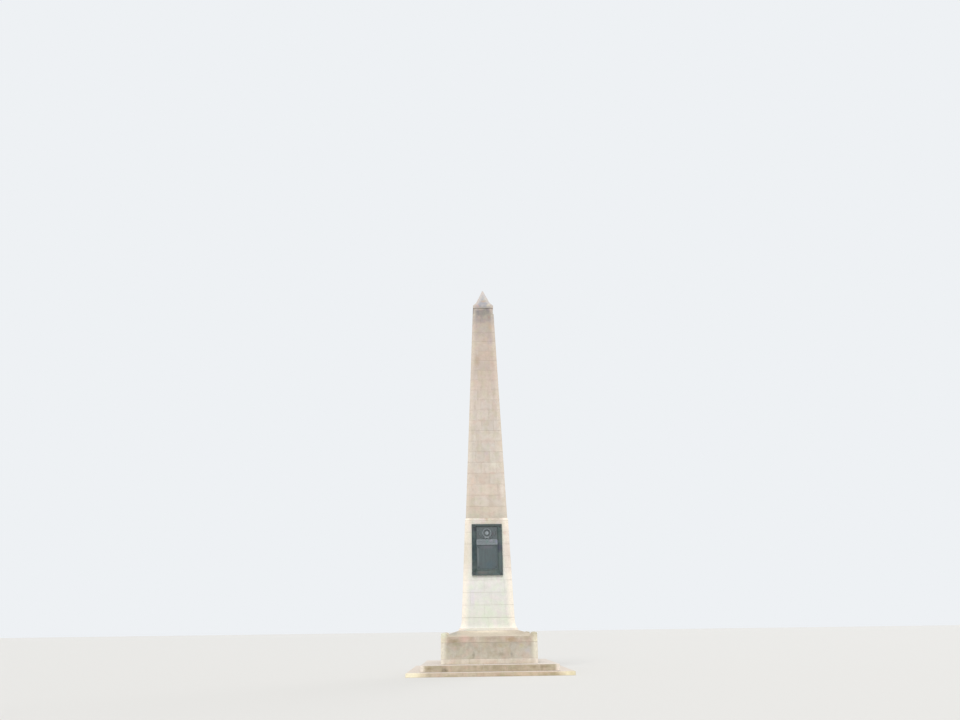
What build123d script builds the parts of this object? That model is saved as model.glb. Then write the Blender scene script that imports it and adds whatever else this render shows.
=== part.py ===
from build123d import *

import math
import os

# A granite obelisk on a stepped base, with a bronze tablet on its front face.
# Millimetres, +Z up. The origin is the middle of the base slab's underside, and the tablet faces -Y.

OVERALL_HEIGHT = 16450

# Stepped base, from the ground up
SLAB_SIDE = 6000
SLAB_HEIGHT = 140
STEP_SIDE = 5030
STEP_HEIGHT = 220

# Plinth: a pale base course, the die, and a cap whose top slopes up to the shaft
PLINTH_SIDE = 3600
PLINTH_BASE_HEIGHT = 180
DIE_HEIGHT = 560
CAP_EDGE_HEIGHT = 210
CAP_RISE = 210
CORNER_BLOCK_SIDE = 230
CORNER_BLOCK_HEIGHT = 115
CORNER_BLOCK_COPING = 35
CORNER_POINT_SIDE = 20

# Shaft: every face leans in by the same batter. The lower shaft stands proud of the upper one,
# and a narrow sloping set-off joins the two. A neck, set back all round, carries the pyramidion
SHAFT_TOP_SIDE = 957
BATTER = 0.0395
UPPER_COURSES = 20
SET_OFF_DEPTH = 27
SET_OFF_HEIGHT = 110
LOWER_COURSES = 8
LOWER_COURSE_HEIGHT = 465
FOOT_HEIGHT = 462
FOOT_FLARE = 100
FOOT_FILLET_HEIGHT = 60
NECK_HEIGHT = 303
NECK_RECESS = 28

# Pyramidion, cut from one stone: an upright band, a sloping shoulder and a slightly blunted point
BAND_SIDE = 920
BAND_HEIGHT = 130
SHOULDER_HEIGHT = 200
SHOULDER_TOP_SIDE = 620
POINT_HEIGHT = 750
POINT_SIDE = 30

# Bronze tablet, in layers out from the stone: plate, then frame and panels, then ornament
TABLET_WIDTH = 1220
TABLET_HEIGHT = 2000
TABLET_BELOW_SET_OFF = 152
PLATE_THICKNESS = 25
FRAME_SIDE_WIDTH = 190
FRAME_TOP_WIDTH = 100
FRAME_BOTTOM_WIDTH = 240
FRAME_THICKNESS = 45
FRAME_INNER_SLOPE = 22
RELIEF_HEIGHT = 520
RELIEF_THICKNESS = 12
RAIL_HEIGHT = 200
RAIL_THICKNESS = 34
PANEL_THICKNESS = 18
WREATH_RADIUS = 165
WREATH_THICKNESS = 64
BOSS_RADIUS = 48
BOSS_EDGE_DISTANCE = 78
BOSS_THICKNESS = 30
BOSS_CROWN_RADIUS = 20

# Heights of the main beds
slab_top = SLAB_HEIGHT
step_top = slab_top + STEP_HEIGHT
plinth_base_top = step_top + PLINTH_BASE_HEIGHT
die_top = plinth_base_top + DIE_HEIGHT
cap_edge_top = die_top + CAP_EDGE_HEIGHT
cap_top = cap_edge_top + CAP_RISE
foot_top = cap_top + FOOT_HEIGHT
set_off_base = foot_top + LOWER_COURSES * LOWER_COURSE_HEIGHT
set_off_top = set_off_base + SET_OFF_HEIGHT
neck_top = OVERALL_HEIGHT - POINT_HEIGHT - SHOULDER_HEIGHT - BAND_HEIGHT
shaft_top = neck_top - NECK_HEIGHT
upper_course_height = (shaft_top - set_off_top) / UPPER_COURSES

# Widths of the shaft where it changes
neck_bottom_side = SHAFT_TOP_SIDE - 2 * NECK_RECESS
neck_top_side = neck_bottom_side - 2 * BATTER * NECK_HEIGHT
upper_bottom_side = SHAFT_TOP_SIDE + 2 * BATTER * (shaft_top - set_off_top)
lower_top_side = upper_bottom_side + 2 * (BATTER * SET_OFF_HEIGHT + SET_OFF_DEPTH)
lower_bottom_side = lower_top_side + 2 * BATTER * (set_off_base - foot_top)
foot_unflared_side = lower_bottom_side + 2 * BATTER * FOOT_HEIGHT
foot_bottom_side = foot_unflared_side + 2 * FOOT_FLARE

# The tablet's opening and what fills it, measured up and down from the tablet's middle
opening_width = TABLET_WIDTH - 2 * FRAME_SIDE_WIDTH
opening_top = TABLET_HEIGHT / 2 - FRAME_TOP_WIDTH
opening_bottom = FRAME_BOTTOM_WIDTH - TABLET_HEIGHT / 2
relief_middle = opening_top - RELIEF_HEIGHT / 2
rail_middle = opening_top - RELIEF_HEIGHT - RAIL_HEIGHT / 2
panel_height = opening_top - opening_bottom - RELIEF_HEIGHT - RAIL_HEIGHT
panel_middle = opening_bottom + panel_height / 2


def save(piece, name):
    piece.part.label = name
    export_step(piece.part, f"parts/{name}.step")


def square_block(side, height, base):
    """A plain square block of stone standing on the bed at the given height."""
    with BuildPart() as block:
        with BuildSketch(Plane.XY.offset(base)):
            Rectangle(side, side)
        extrude(amount=height)
    return block


def tapered_block(bottom_side, top_side, height, base):
    """A square block whose four faces lean in alike, from one bed to the next."""
    lean = math.degrees(math.atan((bottom_side - top_side) / 2 / height))
    with BuildPart() as block:
        with BuildSketch(Plane.XY.offset(base)):
            Rectangle(bottom_side, bottom_side)
        extrude(amount=height, taper=lean)
    return block


def square_turned(profile, width):
    """The same profile on all four faces: two passes of it, across and along, meet in mitred corners."""
    with BuildPart() as piece:
        extrude(profile(Plane.XZ), amount=width, both=True)
        extrude(profile(Plane.YZ), amount=width, both=True, mode=Mode.INTERSECT)
    return piece


def save_courses(name, count, bottom_side, height, base):
    """The courses of one stretch of the shaft, numbered from the bottom."""
    for course in range(count):
        side = bottom_side - 2 * BATTER * height * course
        block = tapered_block(side, side - 2 * BATTER * height, height, base + height * course)
        save(block, f"{name}_{course + 1:02d}")


def build_base():
    save(square_block(SLAB_SIDE, SLAB_HEIGHT, 0), "base_slab")
    save(square_block(STEP_SIDE, STEP_HEIGHT, slab_top), "step_course")


def build_plinth():
    save(square_block(PLINTH_SIDE, PLINTH_BASE_HEIGHT, step_top), "plinth_base_course")
    save(square_block(PLINTH_SIDE, DIE_HEIGHT, plinth_base_top), "plinth_die")
    run = (PLINTH_SIDE - foot_bottom_side) / 2
    slope_from_upright = math.degrees(math.atan(run / CAP_RISE))
    block_centre = (PLINTH_SIDE - CORNER_BLOCK_SIDE) / 2

    # The corner blocks are carved from the cap's slope: each has a seat cut for it down to the cap's edge
    with BuildPart() as plinth_cap:
        with BuildSketch(Plane.XY.offset(die_top)):
            Rectangle(PLINTH_SIDE, PLINTH_SIDE)
        extrude(amount=CAP_EDGE_HEIGHT)
        with BuildSketch(Plane.XY.offset(cap_edge_top)):
            Rectangle(PLINTH_SIDE, PLINTH_SIDE)
        extrude(amount=CAP_RISE, taper=slope_from_upright)
        with BuildSketch(Plane.XY.offset(cap_edge_top)):
            with GridLocations(2 * block_centre, 2 * block_centre, 2, 2):
                Rectangle(CORNER_BLOCK_SIDE, CORNER_BLOCK_SIDE)
        extrude(amount=CAP_RISE, mode=Mode.SUBTRACT)
    save(plinth_cap, "plinth_cap")

    # Each corner block is coped to a low point
    cope_lean = math.degrees(math.atan((CORNER_BLOCK_SIDE - CORNER_POINT_SIDE) / 2 / CORNER_BLOCK_COPING))
    with BuildPart() as cap_corner_blocks:
        with BuildSketch(Plane.XY.offset(cap_edge_top)):
            with GridLocations(2 * block_centre, 2 * block_centre, 2, 2):
                Rectangle(CORNER_BLOCK_SIDE, CORNER_BLOCK_SIDE)
        extrude(amount=CORNER_BLOCK_HEIGHT)
        with BuildSketch(Plane.XY.offset(cap_edge_top + CORNER_BLOCK_HEIGHT)):
            with GridLocations(2 * block_centre, 2 * block_centre, 2, 2):
                Rectangle(CORNER_BLOCK_SIDE, CORNER_BLOCK_SIDE)
        extrude(amount=CORNER_BLOCK_COPING, taper=cope_lean)
    save(cap_corner_blocks, "cap_corner_blocks")


def foot_profile(plane):
    """The foot seen square on: an upright fillet, then a cove that dies into the shaft's batter."""
    half_bottom = foot_bottom_side / 2
    half_top = lower_bottom_side / 2
    fillet_top = cap_top + FOOT_FILLET_HEIGHT
    with BuildSketch(plane) as profile:
        with BuildLine():
            Polyline((-half_top, foot_top), (half_top, foot_top))
            TangentArc((half_top, foot_top), (half_bottom, fillet_top), tangent=(BATTER, -1))
            Polyline(
                (half_bottom, fillet_top),
                (half_bottom, cap_top),
                (-half_bottom, cap_top),
                (-half_bottom, fillet_top),
            )
            TangentArc((-half_top, foot_top), (-half_bottom, fillet_top), tangent=(-BATTER, -1))
        make_face()
    return profile.sketch


def pyramidion_profile(plane):
    """The pyramidion seen square on: band, shoulder and point, each in from the one below."""
    band_top = neck_top + BAND_HEIGHT
    shoulder_top = band_top + SHOULDER_HEIGHT
    with BuildSketch(plane) as profile:
        with BuildLine():
            Polyline(
                (-BAND_SIDE / 2, neck_top),
                (BAND_SIDE / 2, neck_top),
                (BAND_SIDE / 2, band_top),
                (SHOULDER_TOP_SIDE / 2, shoulder_top),
                (POINT_SIDE / 2, OVERALL_HEIGHT),
                (-POINT_SIDE / 2, OVERALL_HEIGHT),
                (-SHOULDER_TOP_SIDE / 2, shoulder_top),
                (-BAND_SIDE / 2, band_top),
                close=True,
            )
        make_face()
    return profile.sketch


def build_shaft():
    save(square_turned(foot_profile, foot_bottom_side), "shaft_foot")
    save_courses("lower_shaft_course", LOWER_COURSES, lower_bottom_side, LOWER_COURSE_HEIGHT, foot_top)
    save(tapered_block(lower_top_side, upper_bottom_side, SET_OFF_HEIGHT, set_off_base), "shaft_set_off")
    save_courses("upper_shaft_course", UPPER_COURSES, upper_bottom_side, upper_course_height, set_off_top)
    save(tapered_block(neck_bottom_side, neck_top_side, NECK_HEIGHT, shaft_top), "shaft_neck")
    save(square_turned(pyramidion_profile, BAND_SIDE), "pyramidion")


def tablet_plane(stand_off):
    """A plane parallel to the shaft's leaning front face, centred on the tablet, stand_off in front of the stone."""
    lean = math.atan(BATTER)
    outward = Vector(0, -math.cos(lean), math.sin(lean))
    up_face = Vector(0, math.sin(lean), math.cos(lean))
    face_top = Vector(0, -lower_top_side / 2, set_off_base)
    centre = face_top - up_face * (TABLET_BELOW_SET_OFF + TABLET_HEIGHT / 2) + outward * stand_off
    return Plane(origin=centre, x_dir=(1, 0, 0), z_dir=outward)


def flat_panel(plane, middle, width, height, thickness):
    """A flat rectangular casting lying on a plane, its own middle so far up from the plane's."""
    with BuildPart() as panel:
        with BuildSketch(plane):
            with Locations((0, middle)):
                Rectangle(width, height)
        extrude(amount=thickness)
    return panel


def build_tablet_plates():
    plate_face = tablet_plane(PLATE_THICKNESS)
    plate = flat_panel(tablet_plane(0), 0, TABLET_WIDTH, TABLET_HEIGHT, PLATE_THICKNESS)
    save(plate, "tablet_backing_plate")
    relief = flat_panel(plate_face, relief_middle, opening_width, RELIEF_HEIGHT, RELIEF_THICKNESS)
    save(relief, "tablet_relief_panel")
    rail = flat_panel(plate_face, rail_middle, opening_width, RAIL_HEIGHT, RAIL_THICKNESS)
    save(rail, "tablet_rail")
    panel = flat_panel(plate_face, panel_middle, opening_width, panel_height, PANEL_THICKNESS)
    save(panel, "tablet_inscription_panel")


def build_tablet_frame():
    """The frame, sloped in to its opening."""
    plate_face = tablet_plane(PLATE_THICKNESS)
    with BuildPart() as tablet_frame:
        with BuildSketch(plate_face):
            Rectangle(TABLET_WIDTH, TABLET_HEIGHT)
            with Locations((0, (opening_top + opening_bottom) / 2)):
                Rectangle(opening_width, opening_top - opening_bottom, mode=Mode.SUBTRACT)
        extrude(amount=FRAME_THICKNESS)
        front = tablet_frame.faces().sort_by(Axis(plate_face.origin, plate_face.z_dir))[-1]
        chamfer(front.inner_wires()[0].edges(), length=FRAME_INNER_SLOPE)
    save(tablet_frame, "tablet_frame")


def build_tablet_wreath():
    """The wreath, a half-round ring lying on the relief panel."""
    relief_face = tablet_plane(PLATE_THICKNESS + RELIEF_THICKNESS)
    half = WREATH_THICKNESS / 2
    across_wreath = Plane(
        origin=relief_face.from_local_coords((0, relief_middle, 0)),
        x_dir=relief_face.x_dir,
        z_dir=-relief_face.y_dir,
    )
    with BuildPart() as tablet_wreath:
        with BuildSketch(across_wreath):
            with BuildLine():
                Line((WREATH_RADIUS - half, 0), (WREATH_RADIUS + half, 0))
                ThreePointArc((WREATH_RADIUS + half, 0), (WREATH_RADIUS, half), (WREATH_RADIUS - half, 0))
            make_face()
        revolve(axis=Axis(across_wreath.origin, across_wreath.y_dir))
    save(tablet_wreath, "tablet_wreath")


def build_tablet_bosses():
    """A round boss with a small raised crown near each corner of the frame."""
    frame_face = tablet_plane(PLATE_THICKNESS + FRAME_THICKNESS)
    span_x = TABLET_WIDTH - 2 * BOSS_EDGE_DISTANCE
    span_y = TABLET_HEIGHT - 2 * BOSS_EDGE_DISTANCE
    with BuildPart() as tablet_corner_bosses:
        with BuildSketch(frame_face):
            with GridLocations(span_x, span_y, 2, 2):
                Circle(BOSS_RADIUS)
        extrude(amount=BOSS_THICKNESS)
        rims = tablet_corner_bosses.edges().group_by(Axis(frame_face.origin, frame_face.z_dir))[-1]
        fillet(rims, radius=BOSS_CROWN_RADIUS)
    save(tablet_corner_bosses, "tablet_corner_bosses")


def main():
    os.makedirs("parts", exist_ok=True)
    build_base()
    build_plinth()
    build_shaft()
    build_tablet_plates()
    build_tablet_frame()
    build_tablet_wreath()
    build_tablet_bosses()


main()
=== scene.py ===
"""A granite obelisk with a bronze tablet: its jointed stones, weathering and patina, and a plain studio.

Metres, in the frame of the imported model: +Z up, the tablet on the -Y face, and the base slab's underside
at z = 0.
"""

import logging
import math
import random
from contextlib import contextmanager
from dataclasses import dataclass, field
from enum import Enum
from typing import Callable, Iterator, Sequence

import bmesh
import bpy
from mathutils import Matrix, Vector


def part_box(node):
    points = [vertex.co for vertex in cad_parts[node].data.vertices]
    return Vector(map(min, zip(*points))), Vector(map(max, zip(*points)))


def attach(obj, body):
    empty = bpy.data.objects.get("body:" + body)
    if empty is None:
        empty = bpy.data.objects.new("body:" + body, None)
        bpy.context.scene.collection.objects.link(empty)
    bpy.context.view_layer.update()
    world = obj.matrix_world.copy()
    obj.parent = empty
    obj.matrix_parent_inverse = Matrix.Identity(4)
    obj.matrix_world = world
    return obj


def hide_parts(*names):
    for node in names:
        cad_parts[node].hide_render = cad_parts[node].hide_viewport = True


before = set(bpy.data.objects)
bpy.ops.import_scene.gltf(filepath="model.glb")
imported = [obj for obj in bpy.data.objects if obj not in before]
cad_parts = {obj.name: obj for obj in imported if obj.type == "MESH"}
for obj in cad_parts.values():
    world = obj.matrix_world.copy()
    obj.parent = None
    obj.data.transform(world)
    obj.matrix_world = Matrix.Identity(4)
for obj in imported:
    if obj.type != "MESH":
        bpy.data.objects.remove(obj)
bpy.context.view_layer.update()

LOG = logging.getLogger("obelisk")
BODY = "root"
MM = 0.001
# Points nearer to each other than this are one point.
TOUCH = 0.2 * MM
# How much a face has to point along +Z to count as one that looks up.
LOOKS_UP = 0.9
TONE_ATTRIBUTE = "stone_tone"

# A granite, and the mortar that it is laid in.
MaterialPair = tuple[bpy.types.Material, bpy.types.Material]
Place = tuple[float, float, float]
Socket = bpy.types.NodeSocket
Tree = bpy.types.NodeTree


class Side(Enum):
    """The four faces of the square plan, in quarter turns from the tablet's face."""

    FRONT = 0
    RIGHT = 1
    BACK = 2
    LEFT = 3

    def carry(self, x: float, y: float) -> tuple[float, float]:
        """Carries a plan point of the front face round to this face.

        Args:
            x: Metres to the right on the front face.
            y: Metres along +Y, so the front face is at a negative y.

        Returns:
            The plan point on this face.
        """
        for _ in range(self.value):
            x, y = -y, x
        return x, y


# Workbench: selecting, shaping and finishing meshes


def select_only(piece: bpy.types.Object) -> None:
    """Makes one object the active one and the only one selected.

    Args:
        piece: The object.
    """
    bpy.ops.object.select_all(action="DESELECT")
    piece.select_set(True)
    bpy.context.view_layer.objects.active = piece


@contextmanager
def editing(piece: bpy.types.Object, mode: str = "FACE") -> Iterator[None]:
    """Edit mode on one piece with nothing selected, and object mode again after.

    Args:
        piece: The mesh object to edit.
        mode: What is selected: VERT, EDGE or FACE.

    Yields:
        Nothing: the operators in the block act on the piece.
    """
    select_only(piece)
    bpy.ops.object.mode_set(mode="EDIT")
    bpy.ops.mesh.select_mode(type=mode)
    bpy.ops.mesh.select_all(action="DESELECT")
    yield
    bpy.ops.object.mode_set(mode="OBJECT")


def pick_vertices(piece: bpy.types.Object, wanted: Callable[[Vector], bool]) -> None:
    """Selects, in edit mode, the vertices whose place passes a test.

    Args:
        piece: The mesh object in edit mode.
        wanted: Takes a vertex's place and says whether it is picked.
    """
    shape = bmesh.from_edit_mesh(piece.data)
    for vertex in shape.verts:
        vertex.select_set(wanted(vertex.co))
    shape.select_flush_mode()
    bmesh.update_edit_mesh(piece.data)


def pick_faces(piece: bpy.types.Object, wanted: Callable[[Vector, Vector], bool]) -> None:
    """Selects, in edit mode, the faces whose middle and normal pass a test.

    Args:
        piece: The mesh object in edit mode.
        wanted: Takes a face's middle and normal and says whether it is picked.
    """
    shape = bmesh.from_edit_mesh(piece.data)
    shape.normal_update()
    for face in shape.faces:
        face.select_set(wanted(face.calc_center_median(), face.normal))
    shape.select_flush_mode()
    bmesh.update_edit_mesh(piece.data)


def pick_top(piece: bpy.types.Object) -> None:
    """Selects, in edit mode, the faces that look up, or out of a piece that lies on the bench."""
    pick_faces(piece, lambda middle, normal: normal.z > LOOKS_UP)


def add_block(low: Vector, high: Vector) -> bpy.types.Object:
    """A plain block between two corners, with its place in its mesh.

    Args:
        low: Its lowest corner.
        high: Its highest corner.

    Returns:
        The block.
    """
    bpy.ops.object.select_all(action="DESELECT")
    bpy.ops.mesh.primitive_cube_add(size=1, location=(low + high) / 2, scale=high - low)
    return settle(bpy.context.object)


def add_ball(place: Vector, size: Place, segments: int, rings: int, turn: float = 0.0) -> bpy.types.Object:
    """A ball, squashed or drawn out, with its place in its mesh.

    Args:
        place: Its middle.
        size: Half its length, width and height.
        segments: How many strips go round it.
        rings: How many bands lie between its poles.
        turn: Its turn about +Z, in radians.

    Returns:
        The ball.
    """
    bpy.ops.mesh.primitive_uv_sphere_add(segments=segments, ring_count=rings, radius=1, location=place)
    ball = bpy.context.object
    ball.scale = size
    ball.rotation_euler.z = turn
    return settle(ball)


def settle(piece: bpy.types.Object) -> bpy.types.Object:
    """Moves an object's place, turn and scale into its mesh.

    Args:
        piece: The mesh object.

    Returns:
        The same object, now at the origin, unturned and unscaled.
    """
    select_only(piece)
    bpy.ops.object.transform_apply(location=True, rotation=True, scale=True)
    return piece


def copy_of(piece: bpy.types.Object) -> bpy.types.Object:
    """Copies an object and its mesh.

    Args:
        piece: The object to copy.

    Returns:
        The copy, with a mesh of its own.
    """
    twin = piece.copy()
    twin.data = piece.data.copy()
    bpy.context.scene.collection.objects.link(twin)
    return twin


def join(pieces: Sequence[bpy.types.Object]) -> bpy.types.Object:
    """Joins objects into the first of them.

    Args:
        pieces: The objects, one or more.

    Returns:
        The joined object.
    """
    select_only(pieces[0])
    for piece in pieces[1:]:
        piece.select_set(True)
    if len(pieces) > 1:
        bpy.ops.object.join()
    return pieces[0]


def taper(piece: bpy.types.Object, above: float, factor: float) -> None:
    """Narrows what lies above a height towards the obelisk's axis.

    Args:
        piece: The mesh object.
        above: The height over which vertices move, in metres.
        factor: How much of their distance from the axis they keep.
    """
    with editing(piece, "VERT"):
        pick_vertices(piece, lambda place: place.z > above)
        bpy.ops.transform.resize(value=(factor, factor, 1), center_override=(0, 0, 0))


def round_arrises(piece: bpy.types.Object, width: float, segments: int = 2, sharper: float = 28) -> None:
    """Eases the sharp edges of a piece, as a mason rubs down an arris.

    Args:
        piece: The mesh object.
        width: The easing's width, in metres.
        segments: How many flats make the rounding.
        sharper: Edges that turn by less than this many degrees are left.
    """
    with editing(piece, "EDGE"):
        bpy.ops.mesh.edges_select_sharp(sharpness=math.radians(sharper))
        bpy.ops.mesh.bevel(offset=width, segments=segments, affect="EDGES", clamp_overlap=True)


def weather(piece: bpy.types.Object, depth: float, seed: int) -> None:
    """Leaves the faces and edges of plain blocks a little uneven.

    Args:
        piece: The mesh object, made of plain blocks.
        depth: How far a point may stray, in metres.
        seed: Picks the unevenness.
    """
    with editing(piece, "VERT"):
        bpy.ops.mesh.select_all(action="SELECT")
        bpy.ops.mesh.subdivide(number_cuts=2)
        bpy.ops.transform.vertex_random(offset=depth, uniform=0.0, normal=0.0, seed=seed)


def cut_away(piece: bpy.types.Object, point: Vector, outward: Vector) -> None:
    """Cuts a piece with a plane, drops what lies beyond it and closes the cut.

    Args:
        piece: The mesh object.
        point: A point on the plane.
        outward: The plane's normal, towards what is dropped.
    """
    with editing(piece):
        bpy.ops.mesh.select_all(action="SELECT")
        bpy.ops.mesh.bisect(plane_co=point, plane_no=outward, use_fill=True, clear_outer=True)


def inset_faces(thickness: float, depth: float = 0.0, each: bool = False) -> None:
    """Insets the selected faces, together or each by itself, and raises or sinks what is left."""
    bpy.ops.mesh.inset(thickness=thickness, depth=depth, use_even_offset=True, use_individual=each)


def inset_to(
    piece: bpy.types.Object, middle: Vector, half_width: float, half_height: float, depth: float = 0.0
) -> None:
    """Insets the one selected face to a rectangle, and raises or sinks what is left.

    Args:
        piece: The mesh object in edit mode, with one face selected.
        middle: The rectangle's middle.
        half_width: Half its width.
        half_height: Half its height.
        depth: How far the face is raised, in metres.
    """
    inset_faces(MM, depth)
    shape = bmesh.from_edit_mesh(piece.data)
    chosen = [face for face in shape.faces if face.select][0]
    centre = chosen.calc_center_median()
    corner = chosen.verts[0].co
    wide, tall = abs(corner.x - centre.x), abs(corner.y - centre.y)
    bpy.ops.transform.resize(value=(half_width / wide, half_height / tall, 1), center_override=centre)
    bpy.ops.transform.translate(value=(middle.x - centre.x, middle.y - centre.y, 0))


def draw_strip(points: Sequence[Vector], half_width: float, half_height: float) -> bpy.types.Object:
    """Draws a rounded strip that lies flat along a smooth line.

    Args:
        points: The line's control points.
        half_width: Half the strip's width, or a round stem's radius.
        half_height: Half its thickness.

    Returns:
        The strip, a closed mesh.
    """
    curve = bpy.data.curves.new("strip", "CURVE")
    curve.dimensions = "3D"
    curve.bevel_depth = half_height
    curve.bevel_resolution = 2
    curve.extrude = half_width - half_height
    curve.use_fill_caps = True
    curve.resolution_u = 6
    line = curve.splines.new("NURBS")
    line.points.add(len(points) - 1)
    for knot, point in zip(line.points, points):
        knot.co = (*point, 1.0)
        knot.tilt = math.pi / 2
    line.order_u = 3
    line.use_endpoint_u = True
    strip = bpy.data.objects.new("strip", curve)
    bpy.context.scene.collection.objects.link(strip)
    select_only(strip)
    bpy.ops.object.convert(target="MESH")
    with editing(strip, "VERT"):
        bpy.ops.mesh.select_all(action="SELECT")
        bpy.ops.mesh.remove_doubles(threshold=TOUCH / 10)
    return strip


def stamp(piece: bpy.types.Object, tone: float) -> None:
    """Gives a stone its own tone, from 0 to 1, which the granite reads."""
    attribute = piece.data.attributes.new(TONE_ATTRIBUTE, "FLOAT", "POINT")
    attribute.data.foreach_set("value", [tone] * len(piece.data.vertices))


def finish_piece(
    piece: bpy.types.Object, name: str, nodes: Sequence[str] = (), crease: float = 35
) -> bpy.types.Object:
    """Names a piece, shades its easings smooth and its flats flat, gives it its body, and hides the CAD
    nodes that it stands for.

    Args:
        piece: The finished mesh object.
        name: Its name.
        nodes: The CAD nodes that it stands for.
        crease: Edges sharper than this many degrees stay sharp.

    Returns:
        The piece.
    """
    piece.name = name
    piece.data.name = name
    select_only(piece)
    bpy.ops.object.shade_smooth_by_angle(angle=math.radians(crease))
    flats = piece.modifiers.new("flats", "WEIGHTED_NORMAL")
    flats.keep_sharp = True
    bpy.ops.object.modifier_apply(modifier=flats.name)
    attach(piece, BODY)
    if nodes:
        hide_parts(*nodes)
    LOG.info("%s: %d faces", name, len(piece.data.polygons))
    return piece


# Shader steps that the finishes share


def linear(hex_colour: str) -> tuple[float, float, float, float]:
    """Turns an sRGB hex value into linear RGBA.

    Args:
        hex_colour: Six hex digits after a hash.

    Returns:
        Red, green, blue and a full alpha.
    """
    channels = [int(hex_colour[start : start + 2], 16) / 255 for start in (1, 3, 5)]
    red, green, blue = (c / 12.92 if c <= 0.04045 else ((c + 0.055) / 1.055) ** 2.4 for c in channels)
    return red, green, blue, 1.0


def add_node(tree: Tree, kind: str, inputs: dict | None = None, **settings: object) -> bpy.types.Node:
    """Adds one node with its settings and what goes into it.

    Args:
        tree: The node tree.
        kind: The node's type.
        inputs: Socket name or number to a value, or to another node's output.
        **settings: The node's own properties.

    Returns:
        The node.
    """
    node = tree.nodes.new(kind)
    for name, value in settings.items():
        setattr(node, name, value)
    for socket, value in (inputs or {}).items():
        if isinstance(value, Socket):
            tree.links.new(value, node.inputs[socket])
        else:
            node.inputs[socket].default_value = value
    return node


def calculate(tree: Tree, operation: str, first: Socket | float, second: Socket | float = 0.0) -> Socket:
    """Works one sum on one or two values."""
    return add_node(tree, "ShaderNodeMath", {0: first, 1: second}, operation=operation).outputs[0]


def remap(
    tree: Tree, value: Socket, start: float, end: float, low: float = 0.0, high: float = 1.0
) -> Socket:
    """Carries a value from one range to another, held at the ends.

    Args:
        tree: The node tree.
        value: The value.
        start: Where it gives low.
        end: Where it gives high.
        low: What it gives at the start.
        high: What it gives at the end.

    Returns:
        The carried value.
    """
    limits = {"Value": value, "From Min": start, "From Max": end, "To Min": low, "To Max": high}
    return add_node(tree, "ShaderNodeMapRange", limits).outputs["Result"]


def noise(tree: Tree, place: Socket, size: float, detail: float = 3.0, roughness: float = 0.5) -> Socket:
    """Gives noise round 0.5, seldom outside 0.25 to 0.75, in patches about as wide as size metres."""
    inputs = {"Vector": place, "Scale": 1 / size, "Detail": detail, "Roughness": roughness}
    return add_node(tree, "ShaderNodeTexNoise", inputs).outputs["Fac"]


def drawn_out(tree: Tree, place: Socket, stretch: float) -> Socket:
    """Shrinks the height in coordinates to a share, which draws noise on them out into runs."""
    inputs = {"Vector": place, "Scale": (1.0, 1.0, stretch)}
    return add_node(tree, "ShaderNodeMapping", inputs).outputs["Vector"]


def tinted(tree: Tree, amount: Socket, colour: Socket | Sequence[float], tint: str) -> Socket:
    """Mixes a tint into a colour.

    Args:
        tree: The node tree.
        amount: How much of the tint shows.
        colour: The colour under it.
        tint: The tint, as an sRGB hex value.

    Returns:
        The mixed colour.
    """
    factor, under, over, result = 0, 6, 7, 2
    inputs = {factor: amount, under: colour, over: linear(tint)}
    return add_node(tree, "ShaderNodeMix", inputs, data_type="RGBA").outputs[result]


def raised(
    tree: Tree, height: Socket, strength: float, depth: float, under: Socket | None = None
) -> Socket:
    """Bumps a surface.

    Args:
        tree: The node tree.
        height: What raises the surface.
        strength: How much of the bump shows.
        depth: How deep it is, in metres.
        under: Another bump that this one lies on.

    Returns:
        The bumped normal.
    """
    inputs = {"Height": height, "Strength": strength, "Distance": depth}
    if under:
        inputs["Normal"] = under
    return add_node(tree, "ShaderNodeBump", inputs).outputs["Normal"]


def start_material(name: str) -> tuple[bpy.types.Material, Tree, bpy.types.Node]:
    """Starts a material that has nothing but its coordinates.

    Args:
        name: The material's name.

    Returns:
        The material, its node tree and its coordinates.
    """
    material = bpy.data.materials.new(name)
    material.use_nodes = True
    tree = material.node_tree
    tree.nodes.clear()
    return material, tree, add_node(tree, "ShaderNodeTexCoord")


def add_shader(tree: Tree, inputs: dict) -> None:
    """Ends a material with a principled shader of the given inputs."""
    shader = add_node(tree, "ShaderNodeBsdfPrincipled", inputs)
    add_node(tree, "ShaderNodeOutputMaterial", {"Surface": shader.outputs["BSDF"]})


@dataclass(frozen=True)
class Stain:
    """A ragged patch of tone, for dirt, growth and bleaching, and in some places painted light and shade:
    its tone, strength, middle and half sizes.
    """

    tone: str
    amount: float
    place: Place
    reach: Place
    tatter: float = 0.6
    inside: float = 0.6
    outside: float = 1.4

    def lay(self, tree: Tree, place: Socket, colour: Socket) -> Socket:
        """Lays the patch over a colour.

        Args:
            tree: The node tree.
            place: The object coordinates.
            colour: The colour under it.

        Returns:
            The stained colour.
        """
        kind = "ShaderNodeVectorMath"
        away = add_node(tree, kind, {0: place, 1: self.place}, operation="SUBTRACT")
        share = add_node(tree, kind, {0: away.outputs[0], 1: self.reach}, operation="DIVIDE")
        distance = add_node(tree, kind, {0: share.outputs[0]}, operation="LENGTH")
        ragged = noise(tree, place, min(self.reach[0], self.reach[2]) * self.tatter)
        edge = calculate(tree, "ADD", distance.outputs["Value"], ragged)
        cover = remap(tree, edge, self.outside, self.inside, high=self.amount)
        return tinted(tree, cover, colour, self.tone)


# Finishes


@dataclass(frozen=True)
class WeatherTone:
    """The tone that the weather gives a stone at one height."""

    height: float
    tone: str


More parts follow.
